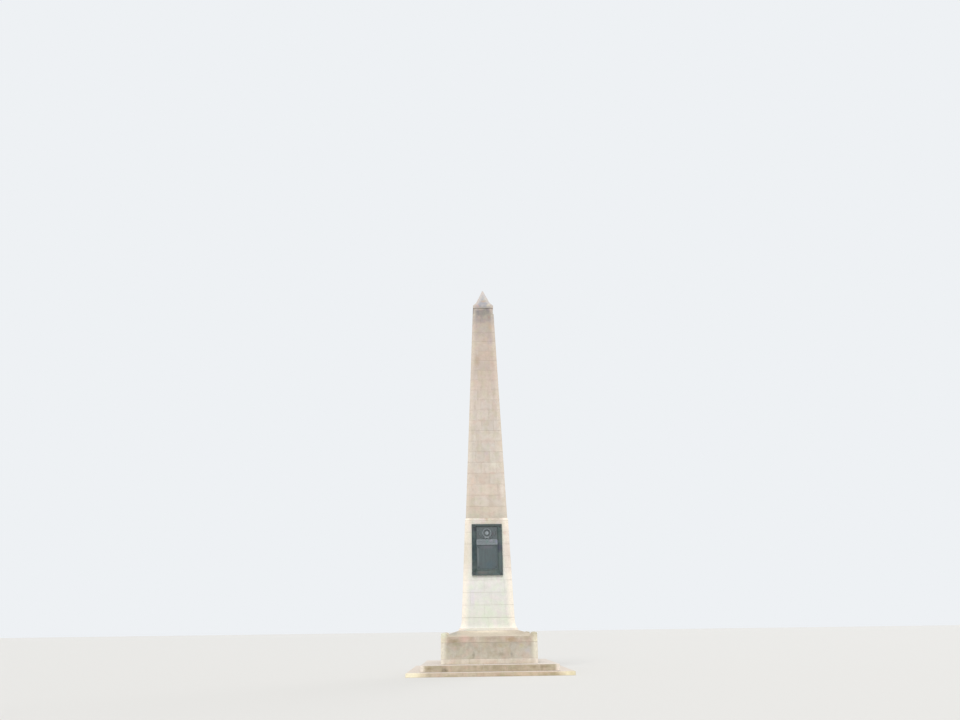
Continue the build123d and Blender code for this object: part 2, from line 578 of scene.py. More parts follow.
@dataclass(frozen=True)
class Granite:
    """Fine-axed granite: matt and speckled, each block a shade apart, bleached at corners, and tinted on
    top partly by rain-wash and partly by painted light.
    """

    name: str
    tones: tuple[WeatherTone, ...]
    pale: str
    dark: str
    # Worn stone: its reach from the plan's corners in metres, and the share of that where it is full
    worn: str
    worn_amount: float = 0.5
    worn_reach: float = 0.17
    worn_core: float = 0.35
    worn_edge: float = 90 * MM
    # Faces that look up: a tint that is partly rain-wash and partly painted light and shade standing in for
    # light from above, and its strength
    top_wash_and_painted_light: str = "#C9C2BD"
    top_wash_and_painted_light_amount: float = 0.8
    stains: tuple[Stain, ...] = ()
    # How much blocks differ in lightness, and in how strong their colour is
    stone_spread: float = 0.07
    stone_warmth: float = 0.15
    # Soft patches, soot and its runs, which are drawn out downwards, and the two hues
    mottle: float = 0.25
    mottle_size: float = 170 * MM
    soot: str = "#8E7F68"
    soot_amount: float = 0.16
    soot_size: float = 800 * MM
    run_width: float = 110 * MM
    run_stretch: float = 0.12
    blush: str = "#CDAE9F"
    lichen: str = "#BDBB9B"
    hue_amount: float = 0.3
    hue_size: float = 300 * MM
    # Crystals and flecks of mica, and the marks of the axe
    mica: str = "#6F675F"
    mica_amount: float = 0.3
    mica_start: float = 0.86
    mica_full: float = 0.92
    crystal_dark: float = 0.96
    crystal_pale: float = 1.09
    grain: float = 7 * MM
    grain_depth: float = 1.5 * MM
    tooling: float = 60 * MM
    tooling_depth: float = 4 * MM
    # How far, and over what length, the tones' edges stray from their heights
    tone_drift: float = 100 * MM
    drift_size: float = 450 * MM
    roughness: float = 0.82
    ior: float = 1.54

    def build(self) -> bpy.types.Material:
        """Builds the material.

        Returns:
            The granite, reading object coordinates and each stone's own tone.
        """
        material, tree, coordinates = start_material(self.name)
        place = coordinates.outputs["Object"]
        colour = self.by_stone(tree, self.by_height(tree, place))
        colour = self.mottled(tree, place, colour)
        colour = self.worn_corners_and_top_light(tree, place, coordinates.outputs["Normal"], colour)
        for stain in self.stains:
            colour = stain.lay(tree, place, colour)
        crystals = add_node(tree, "ShaderNodeTexVoronoi", {"Vector": place, "Scale": 1 / self.grain})
        colour = self.speckled(tree, crystals.outputs["Color"], colour)
        tool_marks = noise(tree, place, self.tooling, detail=6.0, roughness=0.7)
        axed = raised(tree, tool_marks, strength=0.5, depth=self.tooling_depth)
        grains = crystals.outputs["Distance"]
        rough = raised(tree, grains, strength=0.3, depth=self.grain_depth, under=axed)
        look = {"Base Color": colour, "Roughness": self.roughness, "IOR": self.ior, "Normal": rough}
        add_shader(tree, look)
        return material

    def by_height(self, tree: Tree, place: Socket) -> Socket:
        """Gives the weathered tone at each height, its edges made uneven by slow noise.

        Args:
            tree: The node tree.
            place: The object coordinates.

        Returns:
            The tone.
        """
        low, high = self.tones[0].height, self.tones[-1].height
        slow = noise(tree, place, self.drift_size)
        drift = remap(tree, slow, 0.3, 0.7, -self.tone_drift, self.tone_drift)
        level = add_node(tree, "ShaderNodeSeparateXYZ", {"Vector": place}).outputs["Z"]
        share = remap(tree, calculate(tree, "ADD", level, drift), low, high)
        ramp = add_node(tree, "ShaderNodeValToRGB", {"Fac": share})
        stops = ramp.color_ramp.elements
        for _ in range(len(self.tones) - 2):
            stops.new(0.5)
        for stop, tone in zip(stops, self.tones):
            stop.position = (tone.height - low) / (high - low)
            stop.color = linear(tone.tone)
        return ramp.outputs["Color"]

    def by_stone(self, tree: Tree, colour: Socket) -> Socket:
        """Makes each block a shade lighter or darker, and warmer or greyer, than the next.

        Args:
            tree: The node tree.
            colour: The colour under it.

        Returns:
            The shaded colour.
        """
        tone = add_node(tree, "ShaderNodeAttribute", attribute_name=TONE_ATTRIBUTE).outputs["Fac"]
        value = remap(tree, tone, 0, 1, 1 - self.stone_spread / 2, 1 + self.stone_spread / 2)
        # What seven times the tone leaves over its whole part doesn't follow the tone itself.
        turn = calculate(tree, "FRACT", calculate(tree, "MULTIPLY", tone, 7.0))
        saturation = remap(tree, turn, 0, 1, 1 - self.stone_warmth, 1 + self.stone_warmth)
        inputs = {"Color": colour, "Value": value, "Saturation": saturation}
        return add_node(tree, "ShaderNodeHueSaturation", inputs).outputs["Color"]

    def mottled(self, tree: Tree, place: Socket, colour: Socket) -> Socket:
        """Lays soft patches of paler, darker, pinker and greener stone, and long faint runs of soot.

        Args:
            tree: The node tree.
            place: The object coordinates.
            colour: The colour under them.

        Returns:
            The mottled colour.
        """
        patch = noise(tree, place, self.mottle_size, roughness=0.55)
        colour = tinted(tree, remap(tree, patch, 0.5, 0.72, high=self.mottle), colour, self.pale)
        colour = tinted(tree, remap(tree, patch, 0.5, 0.28, high=self.mottle), colour, self.dark)
        # Each hue reads the noise at a place of its own, so that their patches don't fall together.
        for hue, shift in ((self.blush, 3.7), (self.lichen, 9.1)):
            inputs = {"Vector": place, "Location": (shift, shift, shift)}
            moved = add_node(tree, "ShaderNodeMapping", inputs).outputs["Vector"]
            source = noise(tree, moved, self.hue_size, detail=2.0)
            colour = tinted(tree, remap(tree, source, 0.48, 0.66, high=self.hue_amount), colour, hue)
        runs = noise(tree, drawn_out(tree, place, self.run_stretch), self.run_width)
        broad = noise(tree, place, self.soot_size, detail=5.0)
        for source in (runs, broad):
            amount = remap(tree, source, 0.5, 0.75, high=self.soot_amount)
            colour = tinted(tree, amount, colour, self.soot)
        return colour

    def worn_corners_and_top_light(self, tree: Tree, place: Socket, normal: Socket, colour: Socket) -> Socket:
        """Lays pale worn stone along the plan's corners, and on top of the courses a tint that is partly
        rain-wash and partly painted light from above.

        Args:
            tree: The node tree.
            place: The object coordinates.
            normal: The way that the surface faces.
            colour: The colour under it.

        Returns:
            The bleached colour.
        """
        split = add_node(tree, "ShaderNodeSeparateXYZ", {"Vector": place})
        sides = [calculate(tree, "ABSOLUTE", split.outputs[axis]) for axis in ("X", "Y")]
        outer = calculate(tree, "MAXIMUM", *sides)
        inner = calculate(tree, "MINIMUM", *sides)
        from_corner = calculate(tree, "SUBTRACT", outer, inner)
        ragged = remap(tree, noise(tree, place, self.worn_edge), 0.3, 0.7, 0.7, 1.2)
        facing = add_node(tree, "ShaderNodeSeparateXYZ", {"Vector": normal}).outputs["Z"]
        steep, flat = 0.6, 0.9
        upright = remap(tree, facing, flat, steep)
        full = self.worn_reach * self.worn_core
        corner = remap(tree, from_corner, self.worn_reach, full, high=self.worn_amount)
        amount = calculate(tree, "MULTIPLY", calculate(tree, "MULTIPLY", corner, upright), ragged)
        colour = tinted(tree, amount, colour, self.worn)
        # Painted light, with some rain-wash: faces that look up get a tint that stands in for light falling
        # from above.
        top = remap(tree, facing, steep, flat, high=self.top_wash_and_painted_light_amount)
        return tinted(tree, top, colour, self.top_wash_and_painted_light)

    def speckled(self, tree: Tree, crystals: Socket, colour: Socket) -> Socket:
        """Lays pale crystals and dark flecks of mica, drawn about twice their size so that they show.

        Args:
            tree: The node tree.
            crystals: A colour of its own for each crystal.
            colour: The colour under them.

        Returns:
            The speckled colour.
        """
        kind = add_node(tree, "ShaderNodeSeparateColor", {"Color": crystals})
        value = remap(tree, kind.outputs["Red"], 0, 1, self.crystal_dark, self.crystal_pale)
        speckled = add_node(tree, "ShaderNodeHueSaturation", {"Color": colour, "Value": value})
        flecks = remap(tree, kind.outputs["Green"], self.mica_start, self.mica_full, high=self.mica_amount)
        return tinted(tree, flecks, speckled.outputs["Color"], self.mica)


@dataclass(frozen=True)
class LimeMortar:
    """Struck lime mortar: dull and sandy, a little darker than the stone where weather got into it."""

    name: str
    sand: str
    soot: str
    patch_size: float = 200 * MM
    grit: float = 4 * MM
    grit_depth: float = 1 * MM
    roughness: float = 0.95

    def build(self) -> bpy.types.Material:
        """Builds the material.

        Returns:
            The mortar, sandy and unevenly sooted.
        """
        material, tree, coordinates = start_material(self.name)
        place = coordinates.outputs["Object"]
        patch = noise(tree, place, self.patch_size, detail=5.0)
        colour = tinted(tree, patch, linear(self.sand), self.soot)
        grit = noise(tree, place, self.grit, detail=2.0)
        sandy = raised(tree, grit, strength=0.4, depth=self.grit_depth)
        add_shader(tree, {"Base Color": colour, "Roughness": self.roughness, "Normal": sandy})
        return material


@dataclass(frozen=True)
class PatinatedBronze:
    """Cast bronze left outdoors: a dull green-grey skin, brown where thin, with dirt in its hollows."""

    name: str
    skin: str
    brown: str
    verdigris: str
    # Grime lies full up to the hollow's distance from the stone, and fades over the relief's depth
    grime: str = "#394443"
    grime_amount: float = 0.75
    hollow: float = 44 * MM
    relief: float = 14 * MM
    stains: tuple[Stain, ...] = ()
    # How strongly brown and verdigris show, and the sizes of their patches, runs and pits
    bloom: float = 0.35
    patch_size: float = 160 * MM
    run_width: float = 45 * MM
    run_stretch: float = 0.09
    pitting: float = 9 * MM
    pitting_depth: float = 0.8 * MM
    metallic: float = 0.45
    smoothest: float = 0.42
    roughest: float = 0.64

    def build(self, base: Vector, outward: Vector) -> bpy.types.Material:
        """Builds the material.

        Args:
            base: A point on the stone behind the tablet.
            outward: The way out of that stone.

        Returns:
            The bronze, patchy, streaked along the fall of the rain and dark in its hollows.
        """
        material, tree, coordinates = start_material(self.name)
        place = coordinates.outputs["Object"]
        patch = noise(tree, place, self.patch_size, detail=5.0)
        runs = noise(tree, drawn_out(tree, place, self.run_stretch), self.run_width, detail=4.0)
        colour = linear(self.skin)
        for source, tone in ((patch, self.brown), (runs, self.verdigris)):
            colour = tinted(tree, remap(tree, source, 0.45, 0.7, high=self.bloom), colour, tone)
        inputs = {0: place, 1: outward}
        depth = add_node(tree, "ShaderNodeVectorMath", inputs, operation="DOT_PRODUCT").outputs["Value"]
        bottom = base.dot(outward) + self.hollow
        hollows = remap(tree, depth, bottom, bottom + self.relief, self.grime_amount, 0.0)
        colour = tinted(tree, hollows, colour, self.grime)
        for stain in self.stains:
            colour = stain.lay(tree, place, colour)
        pits = noise(tree, place, self.pitting, detail=4.0)
        skin = raised(tree, pits, strength=0.25, depth=self.pitting_depth)
        rough = remap(tree, patch, 0.3, 0.7, self.smoothest, self.roughest)
        look = {"Base Color": colour, "Metallic": self.metallic, "Roughness": rough, "Normal": skin}
        add_shader(tree, look)
        return material


# The upper shaft's granite: warm, pinkish and dull. Round the neck it darkens to a grey that is partly soot
# and partly painted shade under the band, and the band's shaded underside is painted lighter.
UPPER_GRANITE = Granite(
    name="upper_shaft_granite",
    tones=(
        WeatherTone(5.93, "#C7C0B3"),
        WeatherTone(6.1, "#D0C4B7"),
        WeatherTone(7.5, "#D2C7BB"),
        WeatherTone(9.0, "#D0C7BC"),
        WeatherTone(11.0, "#CEC1B6"),
        WeatherTone(12.6, "#C4B4A9"),
        WeatherTone(13.5, "#C9BBAE"),
        WeatherTone(14.5, "#B2A49F"),
        # Painted shade, with soot: the tones darken down to the neck, under the band's overhang.
        WeatherTone(15.0, "#928C8A"),
        WeatherTone(15.25, "#7F7B7E"),
        WeatherTone(15.33, "#8A8686"),
        # Painted light: a paler tone on the band's underside, which lies in shade.
        WeatherTone(15.4, "#ABA6A4"),
        WeatherTone(15.55, "#9B9BA1"),
        WeatherTone(16.0, "#A5A7B1"),
    ),
    pale="#DBCDC2",
    dark="#A8988E",
    worn="#E4D7C6",
    worn_amount=0.4,
    worn_reach=0.2,
    stone_spread=0.09,
    stains=(
        Stain("#BD9E80", 0.6, (0.03, -0.3, 15.8), (0.2, 0.2, 0.12)),
        Stain("#C9A8A2", 0.5, (-0.25, -0.46, 15.5), (0.1, 0.2, 0.12)),
        Stain("#D6CCB6", 0.6, (0.26, -0.44, 15.55), (0.12, 0.2, 0.12)),
        Stain("#A88A79", 0.5, (0.27, -0.48, 14.9), (0.09, 0.2, 0.15)),
        # Painted shade, with soot: a dark patch over the neck, under the band.
        Stain("#8F8A84", 0.7, (0.05, -0.47, 15.12), (0.5, 0.3, 0.2)),
        Stain("#BCA283", 0.45, (0.3, -0.5, 14.4), (0.12, 0.2, 0.22)),
        Stain("#B5A5AC", 0.5, (0.3, -0.5, 13.7), (0.16, 0.3, 0.3)),
        Stain("#B59E86", 0.55, (-0.3, -0.55, 12.75), (0.16, 0.3, 0.42)),
        Stain("#B8AAA4", 0.4, (-0.4, -0.8, 9.6), (0.35, 0.3, 0.4)),
        Stain("#CDB8C0", 0.5, (0.05, -0.76, 8.52), (0.14, 0.3, 0.16)),
        Stain("#E2E2D2", 0.65, (0.37, -0.78, 8.03), (0.24, 0.3, 0.22)),
        Stain("#DAB6AC", 0.5, (0.28, -0.8, 7.66), (0.2, 0.3, 0.1)),
        Stain("#DDBFAA", 0.5, (-0.55, -0.82, 7.33), (0.16, 0.3, 0.3)),
        Stain("#EBE0D6", 0.6, (0.68, -0.83, 6.95), (0.14, 0.3, 0.45)),
        Stain("#BBAB98", 0.45, (0.22, -0.85, 6.35), (0.3, 0.3, 0.2)),
    ),
)
# The lower shaft's granite: cleaner, pale and faintly greenish, creamy along the corners.
LOWER_GRANITE = Granite(
    name="lower_shaft_granite",
    tones=(
        WeatherTone(1.5, "#EBE5D9"),
        WeatherTone(1.75, "#D5D4CB"),
        WeatherTone(2.2, "#DDDED4"),
        WeatherTone(2.9, "#DEDCD9"),
        WeatherTone(3.6, "#E3E3D9"),
        WeatherTone(5.4, "#E0DACD"),
        WeatherTone(5.7, "#C9B9A9"),
        WeatherTone(5.82, "#BCAB98"),
    ),
    pale="#F0EEE8",
    dark="#CFCFCA",
    worn="#FBF0E1",
    worn_amount=0.8,
    worn_reach=0.3,
    stone_spread=0.03,
    mottle=0.3,
    soot="#CBD2C0",
    soot_amount=0.25,
    blush="#E7D9DD",
    lichen="#DBE4CF",
    hue_amount=0.45,
    mica="#8D8A83",
    # Painted shade: faces that look up are tinted darker than the stone, against the light from above.
    top_wash_and_painted_light="#B9AB9A",
    stains=(
        Stain("#D8CFBE", 0.85, (-0.84, -1.0, 4.5), (0.32, 0.5, 1.3)),
        Stain("#DACCC1", 0.85, (0.84, -1.0, 4.5), (0.32, 0.5, 1.4)),
        Stain("#D9B7AA", 0.5, (0.72, -0.93, 5.2), (0.1, 0.4, 0.12)),
        Stain("#D3D2CB", 0.6, (-0.12, -0.95, 3.1), (0.3, 0.4, 0.18)),
        Stain("#D6E2CB", 0.55, (-0.1, -1.0, 2.05), (0.5, 0.4, 0.4)),
        Stain("#DAD4DD", 0.5, (-0.6, -1.0, 2.7), (0.14, 0.4, 0.5)),
    ),
)
# The cap's granite, which holds the wet: brown and rusty below, cream where the shaft drips on it.
CAP_GRANITE = Granite(
    name="plinth_cap_granite",
    tones=(WeatherTone(1.1, "#C0B1A0"), WeatherTone(1.3, "#B9A998"), WeatherTone(1.5, "#C6B9A8")),
    pale="#D8CFC0",
    dark="#A5967D",
    worn="#EDE8CF",
    worn_amount=0.75,
    worn_reach=0.26,
    mottle=0.4,
    # Painted shade: faces that look up, the slopes, are tinted a little darker than the stone, against the
    # light from above.
    top_wash_and_painted_light="#C1B6A4",
    stains=(
        Stain("#DDE4CC", 0.7, (-1.7, -1.75, 1.4), (0.25, 0.3, 0.2)),
        Stain("#B9B299", 0.9, (1.7, -1.75, 1.44), (0.3, 0.3, 0.25)),
        Stain("#A3937F", 0.5, (0.1, -1.8, 1.24), (0.6, 0.3, 0.1)),
        Stain("#A58B68", 0.65, (0.8, -1.8, 1.2), (0.36, 0.3, 0.12)),
        Stain("#D9B6A9", 0.65, (-0.93, -1.8, 1.25), (0.24, 0.4, 0.2)),
        Stain("#E9DCC8", 0.8, (0.0, -1.1, 1.5), (1.1, 0.5, 0.25)),
        Stain("#A09F96", 0.75, (-1.32, -1.5, 1.44), (0.32, 0.4, 0.2)),
        Stain("#A79A87", 0.7, (1.2, -1.5, 1.44), (0.4, 0.4, 0.2)),
        Stain("#928364", 0.7, (-1.3, -1.8, 1.16), (0.3, 0.3, 0.1)),
    ),
)
# The die's granite: the greyest and most mottled, with dark drips and pale worn corners.
DIE_GRANITE = Granite(
    name="plinth_die_granite",
    tones=(WeatherTone(0.5, "#C0BAAB"), WeatherTone(0.9, "#BAB3A5"), WeatherTone(1.1, "#AFA697")),
    pale="#CFC9BA",
    dark="#A5967D",
    worn="#F0EAD8",
    worn_amount=0.7,
    worn_reach=0.26,
    mottle=0.5,
    stains=(
        Stain("#8F8878", 0.7, (-0.59, -1.8, 0.66), (0.08, 0.3, 0.16)),
        Stain("#98917F", 0.6, (0.44, -1.8, 0.68), (0.2, 0.3, 0.1)),
        Stain("#918B85", 0.6, (0.82, -1.8, 0.68), (0.08, 0.3, 0.12)),
        Stain("#A8946F", 0.5, (0.42, -1.8, 0.98), (0.2, 0.3, 0.12)),
        Stain("#A09981", 0.7, (-1.3, -1.8, 1.05), (0.34, 0.3, 0.14)),
        Stain("#BDB68C", 0.5, (1.2, -1.8, 0.98), (0.15, 0.3, 0.12)),
        Stain("#C2BDC4", 0.5, (1.43, -1.8, 0.8), (0.16, 0.3, 0.16)),
    ),
)
# The plinth's bottom course: a pale, even cream that splashing rain keeps clean.
PLINTH_BASE_GRANITE = Granite(
    name="plinth_base_granite",
    tones=(WeatherTone(0.36, "#D4CABC"), WeatherTone(0.54, "#DAD3C7")),
    pale="#E2D8C8",
    dark="#B5A58E",
    worn="#F0E9DD",
    worn_amount=0.7,
)
# The step's granite: a dirty tan riser under a tread that is pale partly from wear and partly from painted
# light from above.
STEP_GRANITE = Granite(
    name="step_granite",
    tones=(WeatherTone(0.14, "#B9AC96"), WeatherTone(0.36, "#B1A48C")),
    pale="#D6C9B6",
    dark="#8F8067",
    worn="#F3EADF",
    worn_amount=0.85,
    worn_reach=0.2,
    mottle=0.35,
    # Painted light, with wear: the tread is tinted paler than the riser, as if lit from above.
    top_wash_and_painted_light="#D9D1CA",
    soot="#7F7059",
    stains=(
        Stain("#766C59", 0.75, (-1.63, -2.5, 0.2), (0.17, 0.3, 0.12)),
        Stain("#8C7A5B", 0.6, (-2.2, -2.5, 0.26), (0.2, 0.3, 0.1)),
        Stain("#8C7A5B", 0.5, (1.56, -2.5, 0.28), (0.22, 0.3, 0.08)),
        Stain("#8F7D62", 0.6, (2.0, -2.5, 0.28), (0.25, 0.3, 0.08)),
    ),
)
# The slab's granite: darker where the soil meets it, paler on top and nearly white towards its ends, each
# partly wear and partly painted sunlight.
SLAB_GRANITE = Granite(
    name="base_slab_granite",
    tones=(WeatherTone(0.0, "#B3A588"), WeatherTone(0.05, "#C7B59E"), WeatherTone(0.14, "#C5B39D")),
    pale="#E0D0C0",
    dark="#A08E76",
    worn="#F4EAC8",
    worn_amount=0.95,
    worn_reach=0.75,
    top_wash_and_painted_light="#D6CDC4",
    soot="#8A7A62",
    stains=(
        # Painted light, with wear: the two ends are painted pale as if in sun, the left end most.
        Stain("#F6EDD0", 0.9, (-2.85, -3.0, 0.07), (0.66, 0.5, 0.5)),
        Stain("#D6CAA9", 0.6, (2.95, -3.0, 0.07), (0.4, 0.4, 0.4)),
    ),
)
# Lime mortar close to the stone's own tone, so that the joints stay faint, and a paler one for pale stone.
SHAFT_MORTAR = LimeMortar("lime_mortar", sand="#C6BAAB", soot="#AEA394")
PALE_MORTAR = LimeMortar("pale_lime_mortar", sand="#D3D0C5", soot="#B9B7AA")

# The frame's bronze: the darkest, and darker still, green-black, down its left side.
FRAME_BRONZE = PatinatedBronze(
    "tablet_frame_bronze",
    skin="#556060",
    brown="#5A554D",
    verdigris="#5F7470",
    bloom=0.5,
    stains=(
        Stain("#6F6A66", 0.7, (-0.2, -1.0, 3.66), (0.3, 0.3, 0.1)),
        Stain("#66706C", 0.5, (0.15, -1.0, 3.7), (0.3, 0.3, 0.1)),
        Stain("#22383D", 0.95, (-0.52, -0.9, 4.5), (0.16, 0.4, 1.1)),
        Stain("#23362F", 0.8, (-0.5, -0.98, 3.7), (0.14, 0.4, 0.16)),
        Stain("#2A2733", 0.9, (-0.48, -0.85, 5.36), (0.17, 0.4, 0.18)),
        Stain("#3A4B47", 0.7, (0.47, -0.85, 5.25), (0.14, 0.4, 0.24)),
        Stain("#3B3954", 0.8, (0.48, -0.9, 4.62), (0.15, 0.4, 0.24)),
        Stain("#3F4745", 0.6, (0.46, -0.98, 3.68), (0.16, 0.4, 0.12)),
    ),
)
# The blank panel's bronze: an even slate grey, rubbed lighter than the frame.
PANEL_BRONZE = PatinatedBronze(
    "tablet_panel_bronze",
    skin="#5F696C",
    brown="#625E60",
    verdigris="#70817F",
    grime_amount=0.3,
    stains=(
        Stain("#4E6068", 0.6, (0.1, -0.9, 3.95), (0.3, 0.4, 0.2)),
        Stain("#6E6972", 0.6, (0.0, -0.9, 4.65), (0.35, 0.4, 0.12)),
        Stain("#84898B", 0.6, (-0.37, -0.9, 4.3), (0.05, 0.4, 0.7)),
    ),
)
# The wreath's and sprays' bronze: chalky pale, as weather leaves what stands out most.
RELIEF_BRONZE = PatinatedBronze(
    "tablet_relief_bronze", skin="#A1A9AE", brown="#8F8A8A", verdigris="#A3B0AD", grime_amount=0.45
)
# The rail's bronze: pale grey with a violet cast in places.
RAIL_BRONZE = PatinatedBronze(
    "tablet_rail_bronze",
    skin="#848B8F",
    brown="#787476",
    verdigris="#859390",
    grime_amount=0.3,
    stains=(
        Stain("#78908A", 0.6, (0.0, -0.87, 4.86), (0.1, 0.4, 0.12)),
        Stain("#A29BAC", 0.6, (0.16, -0.87, 4.9), (0.09, 0.4, 0.12)),
        Stain("#8F8FAC", 0.5, (0.38, -0.87, 4.86), (0.1, 0.4, 0.12)),
    ),
)
# The ground behind the wreath, and the bosses: mid grey, with brown where the dirt stays.
GROUND_BRONZE = PatinatedBronze(
    "tablet_ground_bronze",
    skin="#606769",
    brown="#5F5A57",
    verdigris="#707F7C",
    grime_amount=0.15,
    stains=(Stain("#54444A", 0.5, (0.22, -0.8, 5.15), (0.1, 0.4, 0.16)),),
)


# Masonry


def side_at(node: str, height: float) -> float:
    """Measures how wide a CAD block is at a level where it has corners.

    Args:
        node: The CAD node.
        height: The level, in metres.

    Returns:
        Its width across X, in metres.
    """
    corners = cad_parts[node].data.vertices
    return 2 * max(corner.co.x for corner in corners if abs(corner.co.z - height) < TOUCH)


def levels_of(node: str) -> list[float]:
    """Lists the heights at which a CAD block has corners, from the lowest."""
    return sorted({round(corner.co.z, 4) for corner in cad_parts[node].data.vertices})


def courses_of(shaft: str) -> list[str]:
    """Lists the CAD courses of the lower or the upper shaft, from the lowest."""
    return sorted(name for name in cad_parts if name.startswith(f"{shaft}_shaft_course"))


@dataclass
class StoneRing:
    """One course: a ring of dressed stones, laid pinwheel fashion round a core, with struck joints."""

    node: str
    name: str
    slot: str
    stones_per_side: int
    depth: float
    flipped: bool = False
    open_top: bool = False
    arris: float = 4 * MM
    wear: float = 1 * MM
    joint: float = 6 * MM
    recess: float = 4 * MM
    joint_stray: float = 0.03
    crease: float = 50

    def build(self, materials: MaterialPair) -> bpy.types.Object:
        """Lays the course in place of its CAD node.

        Args:
            materials: The granite and the mortar.

        Returns:
            The finished course.
        """
        granite, mortar = materials
        low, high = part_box(self.node)
        bed = self.joint / 2
        top = high.z - (self.wear if self.open_top else bed)
        bottom_side = side_at(self.node, low.z) - 2 * self.wear
        top_side = side_at(self.node, high.z) - 2 * self.wear
        middle = (low.z + high.z) / 2
        dice = random.Random(self.name)

        stones = []
        for side in Side:
            for start, end in self.spans(bottom_side, dice):
                stone = self.lay(side, start, end, bottom_side, low.z + bed, top)
                stamp(stone, dice.random())
                stones.append(stone)
        ring = join(stones)
        ring.data.materials.append(granite)
        taper(ring, middle, top_side / bottom_side)
        weather(ring, self.wear, dice.randrange(1000))
        round_arrises(ring, self.arris, sharper=self.crease)

        half = bottom_side / 2 - self.recess
        core_top = top - self.recess if self.open_top else high.z
        core = add_block(Vector((-half, -half, low.z)), Vector((half, half, core_top)))
        taper(core, middle, (top_side / 2 - self.recess) / half)
        core.data.materials.append(mortar)
        return finish_piece(join([ring, core]), self.name, [self.node])

    def spans(self, width: float, dice: random.Random) -> list[tuple[float, float]]:
        """Divides one side of the ring into its stones.

        Args:
            width: The course's width.
            dice: Moves each joint a little, as cut stones are never all alike.

        Returns:
            The start and end of each stone along the side, joints left out.
        """
        stray = self.joint_stray * width / self.stones_per_side
        length = (width - self.depth) / self.stones_per_side
        cuts = [length * stone - width / 2 for stone in range(self.stones_per_side + 1)]
        cuts[1:-1] = [cut + dice.uniform(-stray, stray) for cut in cuts[1:-1]]
        gap = self.joint / 2
        spans = [(start + gap, end - gap) for start, end in zip(cuts, cuts[1:])]
        spans[0] = (cuts[0], spans[0][1])
        spans[-1] = (spans[-1][0], cuts[-1] - self.joint)
        return spans

    def lay(
        self, side: Side, start: float, end: float, width: float, bottom: float, top: float
    ) -> bpy.types.Object:
        """Lays one stone.

        Args:
            side: The face that it stands on.
            start: Where it starts along the face.
            end: Where it ends along the face.
            width: The course's width.
            bottom: The stone's lower bed.
            top: The stone's upper bed.

        Returns:
            The stone.
        """
        if self.flipped:
            start, end = -end, -start
        face = -width / 2
        one = side.carry(start, face)
        other = side.carry(end, face + self.depth)
        low = Vector((min(one[0], other[0]), min(one[1], other[1]), bottom))
        high = Vector((max(one[0], other[0]), max(one[1], other[1]), top))
        return add_block(low, high)


@dataclass
class CutBlocks:
    """A shaped course, cut through by upright joints into blocks round a mortar core."""

    shape: bpy.types.Object
    cuts: tuple[float, ...]
    arris: float = 4 * MM
    joint: float = 6 * MM
    recess: float = 4 * MM

    def build(self, materials: MaterialPair, seed: str) -> bpy.types.Object:
        """Cuts the shape into blocks.

        Args:
            materials: The granite and the mortar.
            seed: Picks the blocks' tones.

        Returns:
            The blocks and their core, joined.
        """
        granite, mortar = materials
        dice = random.Random(seed)
        # The outermost blocks end in the shape's own sides: no cut is made as far out as this.
        reach = 100.0
        edges = (-reach, *self.cuts, reach)
        gap = self.joint / 2
        blocks = []
        for left, right in zip(edges, edges[1:]):
            for near, far in zip(edges, edges[1:]):
                block = copy_of(self.shape)
                for point, outward in (
                    (Vector((left + gap, 0, 0)), Vector((-1, 0, 0))),
                    (Vector((right - gap, 0, 0)), Vector((1, 0, 0))),
                    (Vector((0, near + gap, 0)), Vector((0, -1, 0))),
                    (Vector((0, far - gap, 0)), Vector((0, 1, 0))),
                ):
                    if abs(point.x + point.y) < reach / 2:
                        cut_away(block, point, outward)
                stamp(block, dice.random())
                blocks.append(block)
        cut = join(blocks)
        cut.data.materials.append(granite)
        round_arrises(cut, self.arris)
        core = self.shape
        with editing(core):
            bpy.ops.mesh.select_all(action="SELECT")
            bpy.ops.transform.shrink_fatten(value=-self.recess, use_even_offset=True)
        core.data.materials.append(mortar)
        return join([cut, core])


